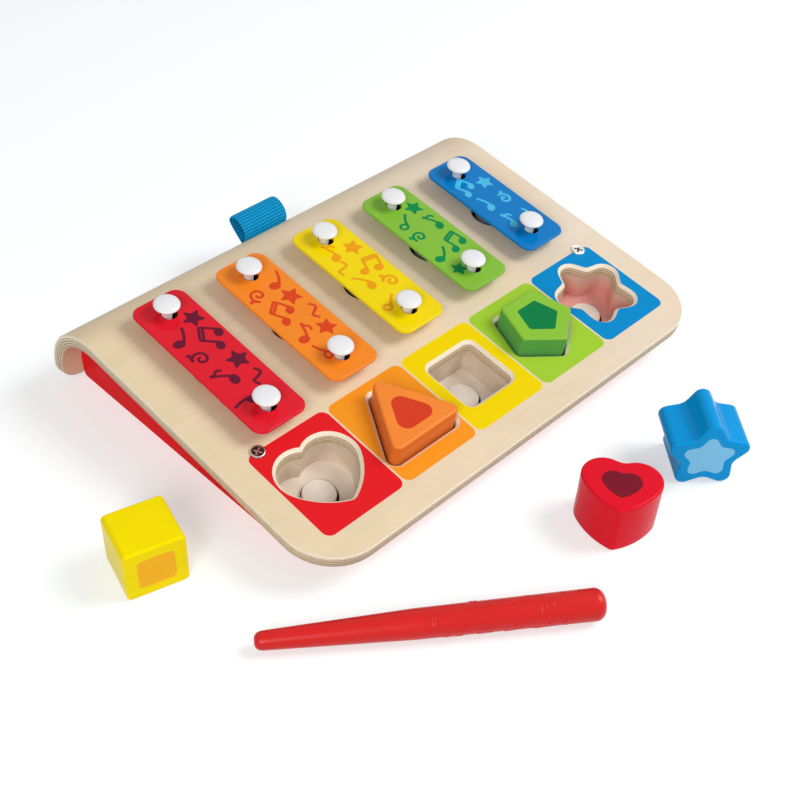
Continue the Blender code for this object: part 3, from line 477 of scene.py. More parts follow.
# %% Printed tiles
tile_width, tile_depth, tile_round, tile_middle_v, ink_blur = 0.0597, 0.0703, 0.0054, 0.0543, 0.0001
tile_hues = ("#E71E25", "#F99B22", "#F6D800", "#A5D037", "#008CCE")
pitches = add(tree, "ShaderNodeMath", [x, row_pitch], operation="DIVIDE")
number = add(tree, "ShaderNodeMath", [pitches], operation="ROUND")
tile_x = add(tree, "ShaderNodeMath", [number, row_pitch], operation="MULTIPLY")
from_middle = add(tree, "ShaderNodeMath", [x, tile_x], operation="SUBTRACT")
up = add(tree, "ShaderNodeMath", [v, tile_middle_v], operation="SUBTRACT")
on_tile = add(tree, "ShaderNodeCombineXYZ", [from_middle, up])
place = add(tree, "ShaderNodeVectorMath", [on_tile], operation="ABSOLUTE")
smaller_box = (tile_width / 2 - tile_round, tile_depth / 2 - tile_round, 0.0)
over = add(tree, "ShaderNodeVectorMath", [place, smaller_box], operation="SUBTRACT")
outside = add(tree, "ShaderNodeVectorMath", [over, (0, 0, 0)], operation="MAXIMUM")
away = add(tree, "ShaderNodeVectorMath", [outside], operation="LENGTH").outputs["Value"]
inside = add(tree, "ShaderNodeMapRange", [away, tile_round - ink_blur, tile_round + ink_blur, 1.0, 0.0])
either_side = add(tree, "ShaderNodeMath", [number], operation="ABSOLUTE")
in_row = add(tree, "ShaderNodeMath", [either_side, 2.5], operation="LESS_THAN")
on_a_tile = add(tree, "ShaderNodeMath", [inside, in_row], operation="MULTIPLY")
inked = add(tree, "ShaderNodeMath", [on_a_tile, on_face], operation="MULTIPLY")
which = add(tree, "ShaderNodeMapRange", [number, -2.0, 2.0, 0.1, 0.9])
inks = ramp(add(tree, "ShaderNodeValToRGB", [which]),
            [(0.2 * k, hue) for k, hue in enumerate(tile_hues)], "CONSTANT")
grainy = add(tree, "ShaderNodeMapRange", [streaks, *noise_span, 0.99, 1.01])
ink = add(tree, "ShaderNodeVectorMath", [inks, grainy], operation="MULTIPLY")
printed = add(tree, "ShaderNodeMix", {0: inked, 6: wood, 7: ink}, data_type="RGBA")
# Satin lacquer: grain a few hundredths of a millimetre deep still shows through it
gloss = add(tree, "ShaderNodeMapRange", [streaks, *noise_span, 0.48, 0.40])
relief = add(tree, "ShaderNodeBump", {"Height": streaks, "Strength": 0.25, "Distance": 0.00005})
feed(tree, shader, {"Base Color": printed, "Roughness": gloss, "Normal": relief, "Specular IOR Level": 0.08})
print("plywood finish:", len(tree.nodes), "nodes")

# %% [markdown]
# The board is cut flat, with all its holes, and bent afterwards, as a press does it. The bars get shorter
# for each higher note, and their pins stand where the bars' own holes will be.

# %% Holes of the board
def grown(shape, by):
    return lambda grow: shape(by + grow)


edge_softness, pin_bore = 0.0009, 0.0047
strike_v, strike_radius, strike_rim = 0.1520, 0.0132, 0.0010
longest_bar, bar_middle_v, pin_inset = 0.1225, 0.1510, 0.0155
bar_lengths = [longest_bar / 2 ** (tone / 24) for tone in (0, 2, 4, 5, 7)]
# The bars have play on their pins and have slid down, so the pins stand a millimetre off the holes' middles
play = 0.0010
pin_places = [(x - play, bar_middle_v + play + sign * (length / 2 - pin_inset))
              for x, length in zip(row_x, bar_lengths) for sign in (-1, 1)]
curl_y, curl_z, curl_end_z, slot_angle = 0.211468 - base_middle_y, 0.010960, 0.0005, radians(30.5)
curl_sweep = pi / 2 + tilt - asin((curl_end_z - curl_z) / curl_radius)
sheet_length = flat_length + curl_radius * curl_sweep
slot_v = flat_length + curl_radius * (pi / 2 + tilt - slot_angle)
slot_corners = [(0.0189 * side, 0.0021 * end) for side, end in ((-1, -1), (1, -1), (1, 1), (-1, 1))]
board_holes = [(grown(shape, wider), (x, v), rim) for x, (shape, v, wider, rim) in zip(row_x, wells.values())]
board_holes += [(round_outline(strike_radius), (x, strike_v), strike_rim) for x in row_x]
board_holes += [(round_outline(pin_bore, 24), place, 0.0) for place in pin_places]
board_holes.append((lambda grow: rounded(slot_corners, [0.0004] * 4, 2), (0, slot_v), 0.0))
print("holes:", len(board_holes), "and bars of", [round(1000 * length, 1) for length in bar_lengths], "mm")

# %% [markdown]
# Rows of cuts across the curl give the bend something to turn on. Then each point past the flat part
# moves onto an arc, as far round as it was along.

# %% Cut and bent board
rows_in_curl = 34
board_outline = box_outline(board_width / 2, 0, sheet_length, [0.034, 0.034, 0.012, 0.012])
shell = bmesh.new()
shell.from_mesh(cut_sheet(board_outline, 0.0, -board_thickness, edge_softness, board_holes))
for v in np.linspace(flat_length, sheet_length - edge_softness, rows_in_curl):
    bmesh.ops.bisect_plane(shell, geom=shell.verts[:] + shell.edges[:] + shell.faces[:], plane_co=(0, v, 0),
                           plane_no=(0, 1, 0), dist=1e-6)
for vertex in shell.verts:
    past = vertex.co.y - flat_length
    if past > 0:
        turn, reach = past / curl_radius, curl_radius + vertex.co.z
        vertex.co.y = flat_length + reach * sin(turn)
        vertex.co.z = -curl_radius + reach * cos(turn)
sheet = as_mesh(shell)
dress("bent_board", sheet, birch, "toy_board", board_place, ["bent_plywood_board"])
print("board:", len(sheet.polygons), "faces")

# %% [markdown]
# ## Wells, floor and pegs
# The wells are sawn through a thick cream-painted block under the board. Paint on end grain is dull and a
# little uneven. The star's well is the nearest to the red side, so a painted reflection of red light from
# the base is mixed into the cream paint there.

# %% Cream paint
# Painted reflection: red light from the base, painted into the cream paint low down and towards the right
painted_bounce_hue, painted_bounce_across, painted_bounce_down, painted_bounce_most = "#E4928A", (0.088, 0.100), (0.034, 0.016), 0.8


def cream_paint(name, hue, dark_hue, glow=True):
    made, tree, shader = new_finish(name)
    here = add(tree, "ShaderNodeTexCoord").outputs["Object"]
    coat = add(tree, "ShaderNodeTexNoise", {"Vector": here, "Scale": 90.0, "Detail": 4.0})
    fibres = grain(tree, here, (500.0, 500.0, 60.0), Detail=3.0)
    colour = ramp(add(tree, "ShaderNodeValToRGB", [coat]), [(0.35, dark_hue), (0.65, hue)])
    # Painted reflection of the base's red light, strongest low down and towards the right
    if glow:
        x, _, z = add(tree, "ShaderNodeSeparateXYZ", [here]).outputs
        near = add(tree, "ShaderNodeMapRange", [x, *painted_bounce_across, 0.0, 1.0])
        deep = add(tree, "ShaderNodeMapRange", [z, *painted_bounce_down, 0.0, painted_bounce_most])
        painted_bounce_amount = add(tree, "ShaderNodeMath", [near, deep], operation="MULTIPLY")
        colour = add(tree, "ShaderNodeMix", {0: painted_bounce_amount, 6: colour, 7: linear(painted_bounce_hue)}, data_type="RGBA")
    rough = add(tree, "ShaderNodeMapRange", [coat, 0.0, 1.0, 0.50, 0.62])
    relief = add(tree, "ShaderNodeBump", {"Height": fibres, "Strength": 0.4, "Distance": 0.00008})
    feed(tree, shader, {"Base Color": colour, "Roughness": rough, "Normal": relief})
    return made


# The walls' cream is painted darker than the floor's cream: painted shade inside the wells
shaded_wall_cream = cream_paint("cream_painted_well_walls", "#E0CFBB", "#D3C0AC")
cream = cream_paint("cream_painted_well_floor", "#F2E7DA", "#E8DACA")
peg_cream = cream_paint("cream_painted_peg", "#F1E8DC", "#E8DCCE", glow=False)

# %% Well block, floor and pegs
screw_x, screw_v, screw_bore, peg_bore = 0.143, 0.0885, 0.0023, 0.0115
floor_top, floor_foot, hair = -0.0250, -0.0265, 0.0001
block_box = box_outline(0.150, 0.0220, 0.0940, [0.032, 0.032, 0.0006, 0.0006])
well_holes = [(grown(shape, wider), (x, v), 0.0) for x, (shape, v, wider, _) in zip(row_x, wells.values())]
well_holes += [(round_outline(screw_bore, 16), (side * screw_x, screw_v), 0.0) for side in (-1, 1)]
well_block = cut_sheet(block_box, -board_thickness - hair, floor_top - hair, 0.0, well_holes)
dress("cream_wells", well_block, shaded_wall_cream, "toy_board", board_place, ["well_block"])
floor_holes = [(round_outline(peg_bore), (x, row_v), 0.0) for x in row_x]
well_floor = cut_sheet(block_box, floor_top, floor_foot, 0.0, floor_holes)
dress("cream_well_floor", well_floor, cream, "toy_board", board_place, ["well_floor"])
peg_radius, peg_round, peg_top, peg_foot = 0.0103, 0.0007, -0.0221, -0.0266
# The lever's play lets each peg lean to one side of its hole
peg_lean = 0.0004
peg_profile = [(0, peg_top)] + [(peg_radius - out, peg_top - down) for out, down in quarter(peg_round, 4)]
peg_profile += [(peg_radius, peg_foot), (0, peg_foot)]
for colour, x in zip(colours, row_x):
    at = board_place @ Matrix.Translation((x - peg_lean, row_v + peg_lean, 0))
    peg = turn_on_lathe(peg_profile)
    dress("round_peg_" + colour, peg, peg_cream, "rocker_" + colour, at, ["peg_" + colour])
print("wells, floor and", len(row_x), "pegs")

# %% [markdown]
# ## Paints, enamel, plastic and rubber
# Toy lacquer on wood is sprayed, so it has a soft ripple of about a millimetre and a satin gloss. Enamel on
# the steel bars is harder and shinier, with a finer ripple. Moulded plastic has a very fine grain. One
# recipe serves them all, with the ripple's width in millimetres and its height as the differences.

# %% One recipe for sprayed and moulded surfaces
def coat_finish(name, hue, roughness, ripple_mm, ripple_depth, change=0.03, shine=0.10, metallic=0.0,
                painted_shade_hue=None, painted_shade_below=0.0):
    made, tree, shader = new_finish(name)
    here = add(tree, "ShaderNodeTexCoord").outputs["Object"]
    ripple = add(tree, "ShaderNodeTexNoise", {"Vector": here, "Scale": 1000.0 / ripple_mm, "Detail": 2.0})
    patches = add(tree, "ShaderNodeTexNoise", {"Vector": here, "Scale": 45.0, "Detail": 3.0})
    tone = add(tree, "ShaderNodeMapRange", [patches, *noise_span, 1.0 - change, 1.0 + change])
    colour = add(tree, "ShaderNodeVectorMath", [linear(hue)[:3], tone], operation="MULTIPLY")
    if painted_shade_hue:
        # A block that stands in its well: the sides, below its top face, are painted a deeper hue as painted
        # shade
        w = add(tree, "ShaderNodeSeparateXYZ", [board_frame(tree)]).outputs[2]
        low = add(tree, "ShaderNodeMapRange", [w, painted_shade_below, painted_shade_below + 0.0006, 1.0, 0.0])
        colour = add(tree, "ShaderNodeMix", {0: low, 6: colour, 7: linear(painted_shade_hue)}, data_type="RGBA")
    dull = add(tree, "ShaderNodeMapRange", [patches, *noise_span, roughness * 0.9, roughness * 1.1])
    relief = add(tree, "ShaderNodeBump", {"Height": ripple, "Strength": 0.5, "Distance": ripple_depth})
    feed(tree, shader, {"Base Color": colour, "Roughness": dull, "Metallic": metallic, "Normal": relief})
    if not metallic:
        feed(tree, shader, {"Specular IOR Level": shine})
    return made

# %% [markdown]
# The bars' enamel is glossy and the ink on them is dull. Of the blocks, the star was rubbed up most, and
# the square and the pentagon stay satin. Two blocks stand in their wells, and their sides are painted deeper
# as painted shade.

# %% Enamels, inks and block lacquers
# Each bar: the hue of its enamel and of the ink on it
bar_hues = {"red": ("#E31B2D", "#671430"), "orange": ("#F98B24", "#DC471F"), "yellow": ("#F7DB00", "#F0A312"),
            "green": ("#86C03C", "#00894A"), "blue": ("#007CC6", "#4FC0E8")}
enamels, doodle_inks = {}, {}
for colour, (hue, ink_hue) in bar_hues.items():
    enamels[colour] = coat_finish(colour + "_stoved_enamel_on_steel", hue, 0.13, 1.4, 0.00001, 0.02, 0.12)
    doodle_inks[colour] = coat_finish(colour + "_screen_ink", ink_hue, 0.34, 0.8, 0.00001, 0.04)
# Painted shade: deeper hues for the sides of the two blocks that stand in their wells
painted_shade_hues = {"triangle": "#E47A2E", "pentagon": "#60AC54"}
painted_shade_starts = 0.0112
# Each block: the hue of its lacquer and of its printed shape, then the lacquer's roughness and shine
block_coats = {"heart": ("#E8142B", "#7B1228", 0.20, 0.07), "triangle": ("#F98B36", "#D83F22", 0.20, 0.12),
               "square": ("#FFE600", "#FFBA20", 0.28, 0.06), "pentagon": ("#8EC63F", "#007C41", 0.28, 0.06),
               "star": ("#009CE4", "#86CFF8", 0.12, 0.08)}
lacquers, insets = {}, {}
for shape, (hue, inset_hue, roughness, shine) in block_coats.items():
    lacquers[shape] = coat_finish(shape + "_toy_lacquer_on_beech", hue, roughness, 1.6, 0.00001, 0.025, shine,
                                  painted_shade_hue=painted_shade_hues.get(shape), painted_shade_below=painted_shade_starts)
    insets[shape] = coat_finish(shape + "_pad_printed_ink", inset_hue, 0.42, 0.9, 0.00002, 0.03)
print(len(enamels) + len(doodle_inks) + len(lacquers) + len(insets), "coloured coats")

# %% [markdown]
# The rest are one finish each. Red lacquer is satin, and the pins' plastic has an even, soft shine. Rubber,
# stained beech, felt and hardboard, which is pressed fibre, are dull. The screws are nickel plated, so they
# mirror what is round them. On their heads the driver's recess and the rim are painted in hues of their own,
# as painted shade and painted highlights, and the left screw is the same steel painted dark and reddish, as
# painted shade and reflection.

# %% Other finishes
# In this order: hue, roughness, width of the ripple in mm, its depth in metres, change of tone, shine
red_lacquer = coat_finish("red_lacquered_plywood", "#EE131E", 0.45, 1.8, 0.00005, 0.03, 0.04)
stick_lacquer = coat_finish("red_lacquered_beech_stick", "#D81C1A", 0.30, 1.5, 0.00003, 0.03, 0.28)
white_abs = coat_finish("white_moulded_abs", "#F0F0F2", 0.34, 0.5, 0.00001, 0.01, 0.3)
black_rubber = coat_finish("black_epdm_rubber", "#161414", 0.65, 0.4, 0.00003, 0.10)
grey_rubber = coat_finish("grey_hammer_rubber", "#7B7B7E", 0.55, 0.6, 0.00003, 0.06)
red_beech = coat_finish("red_stained_beech_lever", "#8E1C18", 0.50, 1.0, 0.00005, 0.10)
hardboard = coat_finish("brown_hardboard", "#7A5A40", 0.75, 0.5, 0.00006, 0.12)
felt = coat_finish("grey_wool_felt", "#6E6E70", 0.95, 0.6, 0.0002, 0.12)


def screw_steel(name, hue, recess_hue, rim_hue):
    made = coat_finish(name, hue, 0.28, 0.3, 0.00001, 0.06, 0.5, 1.0)
    tree, shader = made.node_tree, made.node_tree.nodes["Principled BSDF"]
    colour = shader.inputs["Base Color"].links[0].from_socket
    # Painted light: the recess and the rim get hues of their own, as painted shade and painted highlights
    for part, part_hue in (("recess", recess_hue), ("rim", rim_hue)):
        held = add(tree, "ShaderNodeAttribute", attribute_name=part).outputs["Fac"]
        colour = add(tree, "ShaderNodeMix", {0: held, 6: colour, 7: linear(part_hue)}, data_type="RGBA")
    feed(tree, shader, {"Base Color": colour})
    return made


# Right screw: recess painted dark as painted shade, rim painted paler as a painted highlight. Left screw:
# painted dark and reddish as painted shade and reflection, with recess and rim painted pale as painted
# highlights
bright_steel = screw_steel("bright_nickelled_steel", "#DDDAD4", "#3A3632", "#E4E2DE")
painted_shade_steel = screw_steel("nickelled_steel_with_painted_shade_and_reflection", "#5E3B36", "#B9A49E", "#B8B0AA")
print(len(bpy.data.materials), "finishes so far")

# %% [markdown]
# The base and the parts inside it have the right shape already, so they keep it and only get a better
# finish: red sides, a hardboard bottom, beech levers with rubber hammers, and a steel axle and rail.

# %% Finishes of the moving model
looks = {"base_left": red_lacquer, "base_right": red_lacquer, "base_front": red_lacquer,
         "base_bottom_panel": hardboard, "lever_rest_felt": felt, "lever_rest": bright_steel,
         "lever_": red_beech, "hammer_": grey_rubber, "spacer_": black_rubber}
for name, node in nodes.items():
    fitting = [look for start, look in looks.items() if name.startswith(start)]
    node.data.materials.clear()
    node.data.materials.append(fitting[0] if fitting else bright_steel)
print(len(nodes), "nodes of the moving model have a finish")

# %% [markdown]
# ## Brush strokes with Geometry Nodes
# The bars carry small printed notes and stars. Each doodle is a few lines and filled heads. A node tree
# turns lines into strokes: a round brush is swept along each line and pressed flat, so its width and the
# height of the ink are two numbers that can be changed for every doodle at once.

# %% Tools for node trees
def new_tree(name, inputs):
    made = bpy.data.node_groups.new(name, "GeometryNodeTree")
    made.interface.new_socket("Geometry", in_out="INPUT", socket_type="NodeSocketGeometry")
    for label, kind in inputs:
        made.interface.new_socket(label, in_out="INPUT", socket_type=kind)
    made.interface.new_socket("Geometry", in_out="OUTPUT", socket_type="NodeSocketGeometry")
    return made, made.nodes.new("NodeGroupInput"), made.nodes.new("NodeGroupOutput")


def bake(thing):
    # The plain mesh that an object's modifiers make.
    bpy.context.view_layer.update()
    graph = bpy.context.evaluated_depsgraph_get()
    evaluated = thing.evaluated_get(graph)
    return bpy.data.meshes.new_from_object(evaluated, preserve_all_data_layers=True, depsgraph=graph)


def run_tree(mesh, tree, values):
    # Runs the tree on a mesh and gives back the plain mesh that it makes.
    holder = put_in_scene("holder", mesh)
    step = holder.modifiers.new("tree", "NODES")
    step.node_group = tree
    for item in tree.interface.items_tree:
        if item.in_out == "INPUT" and item.name in values:
            step[item.identifier] = values[item.name]
    made = bake(holder)
    bpy.data.objects.remove(holder, do_unlink=True)
    return made


def end_tree(tree, result, geometry, finish):
    # Every tree ends like this: real geometry with its material.
    real = add(tree, "GeometryNodeRealizeInstances", [geometry])
    feed(tree, result, [add(tree, "GeometryNodeSetMaterial", {"Geometry": real, "Material": finish})])


# %% Brush
brush, given, result = new_tree("brush_strokes", [
    ("Brush Width", "NodeSocketFloat"), ("Ink Height", "NodeSocketFloat"), ("Ink", "NodeSocketMaterial")])
lines = add(brush, "GeometryNodeMeshToCurve", [given.outputs["Geometry"]])
half_width = add(brush, "ShaderNodeMath", [given.outputs["Brush Width"], 0.5], operation="MULTIPLY")
bristles = add(brush, "GeometryNodeCurvePrimitiveCircle", {"Resolution": 10, "Radius": half_width})
swept = add(brush, "GeometryNodeCurveToMesh", {"Curve": lines, "Profile Curve": bristles, "Fill Caps": True})
press = add(brush, "ShaderNodeMath", [given.outputs["Ink Height"], half_width], operation="DIVIDE")
squash = add(brush, "ShaderNodeCombineXYZ", [1.0, 1.0, press])
where = add(brush, "GeometryNodeInputPosition")
flat = add(brush, "ShaderNodeVectorMath", [where, squash], operation="MULTIPLY")
pressed = add(brush, "GeometryNodeSetPosition", {"Geometry": swept, "Position": flat})
end_tree(brush, result, pressed, given.outputs["Ink"])
print("brush tree:", len(brush.nodes), "nodes")

# %% [markdown]
# The doodles are drawn once, in millimetres, as lines and filled outlines: notes with one head or two, a
# star, a curl and a wave. Smooth lines pass through a few points each.

# %% Doodles, in millimetres
def oval(x, y, wide, high, turn=0.35, steps=18):
    points = [(wide * cos(a), high * sin(a)) for a in np.linspace(0, 2 * pi, steps + 1)[:-1]]
    return [(x + p * cos(turn) - q * sin(turn), y + p * sin(turn) + q * cos(turn)) for p, q in points]


def smooth_line(points, steps):
    line = []
    for k in range(len(points) - 1):
        a, b, c, d = (np.array(points[min(max(k + j, 0), len(points) - 1)], float) for j in (-1, 0, 1, 2))
        for t in np.linspace(0, 1, steps + 1)[:-1]:
            bend, sway = 2 * a - 5 * b + 4 * c - d, 3 * b - a - 3 * c + d
            line.append((2 * b + (c - a) * t + bend * t ** 2 + sway * t ** 3) / 2)
    return line + [np.array(points[-1], float)]


head, open_head = oval(0, -4.4, 2.9, 2.3), oval(0, -4.2, 2.2, 1.8)
spiral = [((0.9 + 0.62 * a) * cos(a + 0.6), (0.9 + 0.62 * a) * sin(a + 0.6))
          for a in np.linspace(0, 8.2, 34)]
doodles = {
    "single": ([[(1.9, -4.1), (2.6, 0.5), (2.2, 5.4)]], [head]),
    "flagged": ([[(1.9, -4.1), (2.3, 0.5), (2.1, 5.6)],
                 [(2.1, 5.6), (3.2, 3.6), (5.2, 2.6), (5.4, 0.2)]], [head]),
    "paired": ([[(-2.3, -4.2), (-2.1, 4.4)], [(5.7, -3.2), (5.9, 5.6)], [(-2.2, 4.4), (5.9, 5.6)],
                [(-2.2, 2.7), (5.8, 3.9)]], [oval(-4.2, -4.4, 2.7, 2.2), oval(3.8, -3.4, 2.7, 2.2)]),
    "open": ([open_head + open_head[:1], [(2.1, -3.6), (2.6, 0.4), (4.4, 4.8)]], []),
    "star": ([], [rounded(star_corners(5.4, 2.7), [0.35] * 10, 3)]),
    "curl": ([spiral, [spiral[-1], (-0.6, 7.6), (-2.6, 8.6)]], []),
    "wave": ([[(-5, -1), (-2.6, 1.6), (0, -0.6), (2.6, -2.2), (5, 0.6)]], []),
}
print("doodles:", ", ".join(doodles))

# %% [markdown]
# A drawing is a list of doodles with their places. Its lines go through the brush tree, and its filled
# heads become thin sheets of the same height, so strokes and heads are one film of ink.

# %% From doodles to a film of ink
def doodle_mesh(places, width, height, ink):
    # places are (doodle, x, y, turn in degrees, size), with x and y in metres.
    strokes, heads = bmesh.new(), bmesh.new()
    for kind, x, y, turn, size in places:
        turned = Matrix.Rotation(radians(turn), 4, "Z")
        spin = Matrix.Translation((x, y, 0)) @ turned @ Matrix.Scale(size / 1000, 4)
        for line in doodles[kind][0]:
            # A line of many points is smooth already
            steps = 5 if len(line) < 12 else 1
            chain = [strokes.verts.new(spin @ Vector((*p, 0))) for p in smooth_line(line, steps)]
            for a, b in zip(chain, chain[1:]):
                strokes.edges.new((a, b))
        for blob in doodles[kind][1]:
            ring = [spin @ Vector((*p, 0)) for p in blob]
            high, low = ([heads.verts.new((p.x, p.y, level)) for p in ring] for level in (height, -height))
            wall(heads, [high, low])
            for loop in (low, high):
                bmesh.ops.triangle_fill(heads, edges=ring_edges(heads, loop))
    swept = run_tree(as_mesh(strokes), brush, {"Brush Width": width, "Ink Height": height, "Ink": ink})
    heads.from_mesh(swept)
    return as_mesh(heads)

# %% [markdown]
# ## Enamelled bars
# Each bar is a stamped steel strip with rounded corners, softened edges and two holes, shorter for each
# higher note. The doodles are a thin film of ink on top. Their places are in millimetres on the longest
# bar, and a shorter bar draws them together.

# %% Places of the doodles
layouts = {
    "red": [("star", 9, 34, 15, 1.45), ("single", -8, 27, -30, 1.4), ("paired", 7, 15, 50, 1.35),
            ("curl", -8, 5, 30, 0.95), ("star", 9, -8, -10, 1.5), ("flagged", -8, -16, 60, 1.4),
            ("wave", 9, -25, 60, 1.3), ("single", -10, -38, 100, 1.2)],
    "orange": [("single", 9, 33, -30, 1.4), ("curl", -8, 27, 100, 0.95), ("star", 8, 14, 10, 1.5),
               ("paired", -7, 6, 30, 1.3), ("wave", 11, -5, 75, 1.3), ("flagged", -8, -15, -20, 1.35),
               ("star", 8, -21, 30, 1.4), ("open", -10, -36, 40, 1.2)],
    "yellow": [("flagged", -8, 31, 15, 1.35), ("star", 9, 26, 25, 1.4), ("wave", -10, 14, 50, 1.3),
               ("paired", 7, 6, -20, 1.3), ("single", -9, -6, 40, 1.35), ("curl", 8, -16, 10, 0.9),
               ("open", -8, -29, -30, 1.3)],
    "green": [("star", 9, 32, 0, 1.35), ("open", -8, 26, -20, 1.3), ("flagged", 8, 11, 30, 1.3),
              ("curl", -8, 5, 60, 0.85), ("paired", 7, -14, 10, 1.25), ("single", -9, -17, -40, 1.3),
              ("star", -9, -38, 20, 1.2)],
    "blue": [("paired", -8, 27, 25, 1.15), ("star", 9, 22, -10, 1.3), ("single", -9, 2, 20, 1.25),
             ("curl", 8, -3, -30, 0.85), ("flagged", -8, -24, 15, 1.2), ("wave", 8, -27, 70, 1.1)],
}

# %% Bars and their print
bar_width, bar_thickness, bar_top, bar_edge, bar_corner = 0.0385, 0.0022, 0.0112, 0.0010, 0.0078
bar_hole, hole_rim, brush_width, ink_height = 0.0052, 0.0003, 0.0019, 0.00006
for colour, x, length in zip(colours, row_x, bar_lengths):
    half = length / 2
    pin_holes = [(round_outline(bar_hole), (0, sign * (half - pin_inset)), hole_rim) for sign in (-1, 1)]
    outline = box_outline(bar_width / 2, -half, half, [bar_corner] * 4)
    strip = cut_sheet(outline, bar_top, bar_top - bar_thickness, bar_edge, pin_holes)
    at = board_place @ Matrix.Translation((x, bar_middle_v, 0))
    dress("enamelled_bar_" + colour, strip, enamels[colour], "toy_board", at, ["bar_" + colour])
    places = [(kind, px / 1000, py / 1000 * length / longest_bar, turn, size)
              for kind, px, py, turn, size in layouts[colour]]
    film = doodle_mesh(places, brush_width, ink_height, doodle_inks[colour])
    film.transform(Matrix.Translation((0, 0, bar_top)))
    dress("printed_doodles_" + colour, film, doodle_inks[colour], "toy_board", at, even=False)
print("bars and doodles:", sum(len(places) for places in layouts.values()), "doodles")

# %% [markdown]
# ## Pins and screws, one tree for both
# Ten equal pins stand square to the board, two to a bar. A tree takes a set of points and one finished
# piece, stands a copy on each point with the board's tilt, and makes the copies real. The same tree sets
# the two cross-head screws.

# %% Standing copies on the board
stand, given, result = new_tree("stand_on_board", [
    ("Piece", "NodeSocketObject"), ("Tilt", "NodeSocketFloat"), ("Finish", "NodeSocketMaterial")])
piece = add(stand, "GeometryNodeObjectInfo", {"Object": given.outputs["Piece"], "As Instance": True})
angles = add(stand, "ShaderNodeCombineXYZ", [given.outputs["Tilt"]])
slope = add(stand, "FunctionNodeEulerToRotation", [angles])
copies = add(stand, "GeometryNodeInstanceOnPoints", {
    "Points": given.outputs["Geometry"], "Instance": piece.outputs["Geometry"], "Rotation": slope})
end_tree(stand, result, copies, given.outputs["Finish"])


def stand_pieces(name, mesh, places, finish, replaces, crease=35):
    mesh.shade_smooth()
    master = put_in_scene("master", mesh)
    points = bpy.data.meshes.new(name + "_points")
    points.from_pydata([board_place @ Vector(place) for place in places], [], [])
    made = run_tree(points, stand, {"Piece": master, "Tilt": tilt, "Finish": finish})
    bpy.data.objects.remove(master, do_unlink=True)
    dress(name, made, finish, "toy_board", replaces=replaces, crease=crease)


# A shallow dome over a cone: the cap's edge is turned soft, and a stem goes down through the bar
cap = [(0, 0.0095), (0.0030, 0.00942), (0.0055, 0.00915), (0.0070, 0.00868), (0.0079, 0.00810),
       (0.0082, 0.00750), (0.0081, 0.00700), (0.0076, 0.00660), (0.0066, 0.00630), (0.0052, 0.00580),
       (0.0043, 0.00450), (0.0037, 0.00250), (0.0034, 0.00120), (0.0033, 0.00060), (0.0033, -0.0180),
       (0, -0.0180)]
stand_pieces("white_pins", turn_on_lathe(cap, 48), [(x, v, bar_top) for x, v in pin_places], white_abs,
             [name for name in nodes if name.startswith("pin_")])
print("pins:", len(pin_places))

# %% [markdown]
# The screws are turned too, and two crossed slots with leaning ends are then cut out of the head for the
# driver. Two attributes tell the finish where the recess and the rim are.

# %% Screws
screw_profile = [(0, 0.00125), (0.0026, 0.00125), (0.0034, 0.00135), (0.0040, 0.00150), (0.0044, 0.00130),
                 (0.0047, 0.00080), (0.0048, 0.00030), (0.0048, 0.00003), (0.0020, 0.00003),
                 (0.0020, -0.0170), (0.0010, -0.0190), (0, -0.0195)]
slot_reach_top, slot_reach_foot, slot_width, slot_top, slot_foot = 0.0038, 0.0025, 0.0012, 0.0026, 0.0003
recess_top, recess_reach, rim_starts = 0.0011, 0.0032, 0.0038
screw = put_in_scene("screw", turn_on_lathe(screw_profile, 40))
for turn in (radians(32), radians(122)):
    cutter_shell = bmesh.new()
    bmesh.ops.create_cube(cutter_shell, size=1.0)
    for vertex in cutter_shell.verts:
        reach, level = (slot_reach_top, slot_top) if vertex.co.z > 0 else (slot_reach_foot, slot_foot)
        vertex.co = (vertex.co.x * 2 * reach, vertex.co.y * slot_width, level)
    cutter_shell.transform(Matrix.Rotation(turn, 4, "Z"))
    cutter = put_in_scene("driver_slot", as_mesh(cutter_shell))
    cut = screw.modifiers.new("recess", "BOOLEAN")
    cut.solver = "EXACT"
    cut.object = cutter
    screw_mesh = bake(screw)
    screw.modifiers.clear()
    screw.data = screw_mesh
    bpy.data.objects.remove(cutter, do_unlink=True)
bpy.data.objects.remove(screw, do_unlink=True)
reaches = [(v.co.xy.length, v.co.z) for v in screw_mesh.vertices]
in_recess = [0.0 < level < recess_top and reach < recess_reach for reach, level in reaches]
at_rim = [reach > rim_starts for reach, _ in reaches]
for part, held in (("recess", in_recess), ("rim", at_rim)):
    screw_mesh.attributes.new(part, "FLOAT", "POINT").data.foreach_set("value", [float(yes) for yes in held])
stand_pieces("left_screw", screw_mesh.copy(), [(-screw_x, screw_v, 0)], painted_shade_steel, ["board_screw_left"], 25)
stand_pieces("right_screw", screw_mesh, [(screw_x, screw_v, 0)], bright_steel, ["board_screw_right"], 25)
print("screw:", len(screw_mesh.polygons), "faces")

# %% [markdown]
# ## Webbing loop
# Nylon webbing is woven with thick cords that run across the strap, so it looks ribbed. The strap's path
# goes out through the slot in the curl, round and back in, and its two tails lie against the inside of
# the curl.

# %% Path of the strap
loop_width, loop_thickness, strap_gap = 0.0370, 0.0014, 0.0006
lean, bend, tail, inner = radians(11.0), 0.0013, 0.0120, curl_radius - board_thickness
loop_reach, loop_height = 0.0210, 0.0110


def round_curl(radius, angle):
    return (curl_y + radius * cos(angle), curl_z + radius * sin(angle))


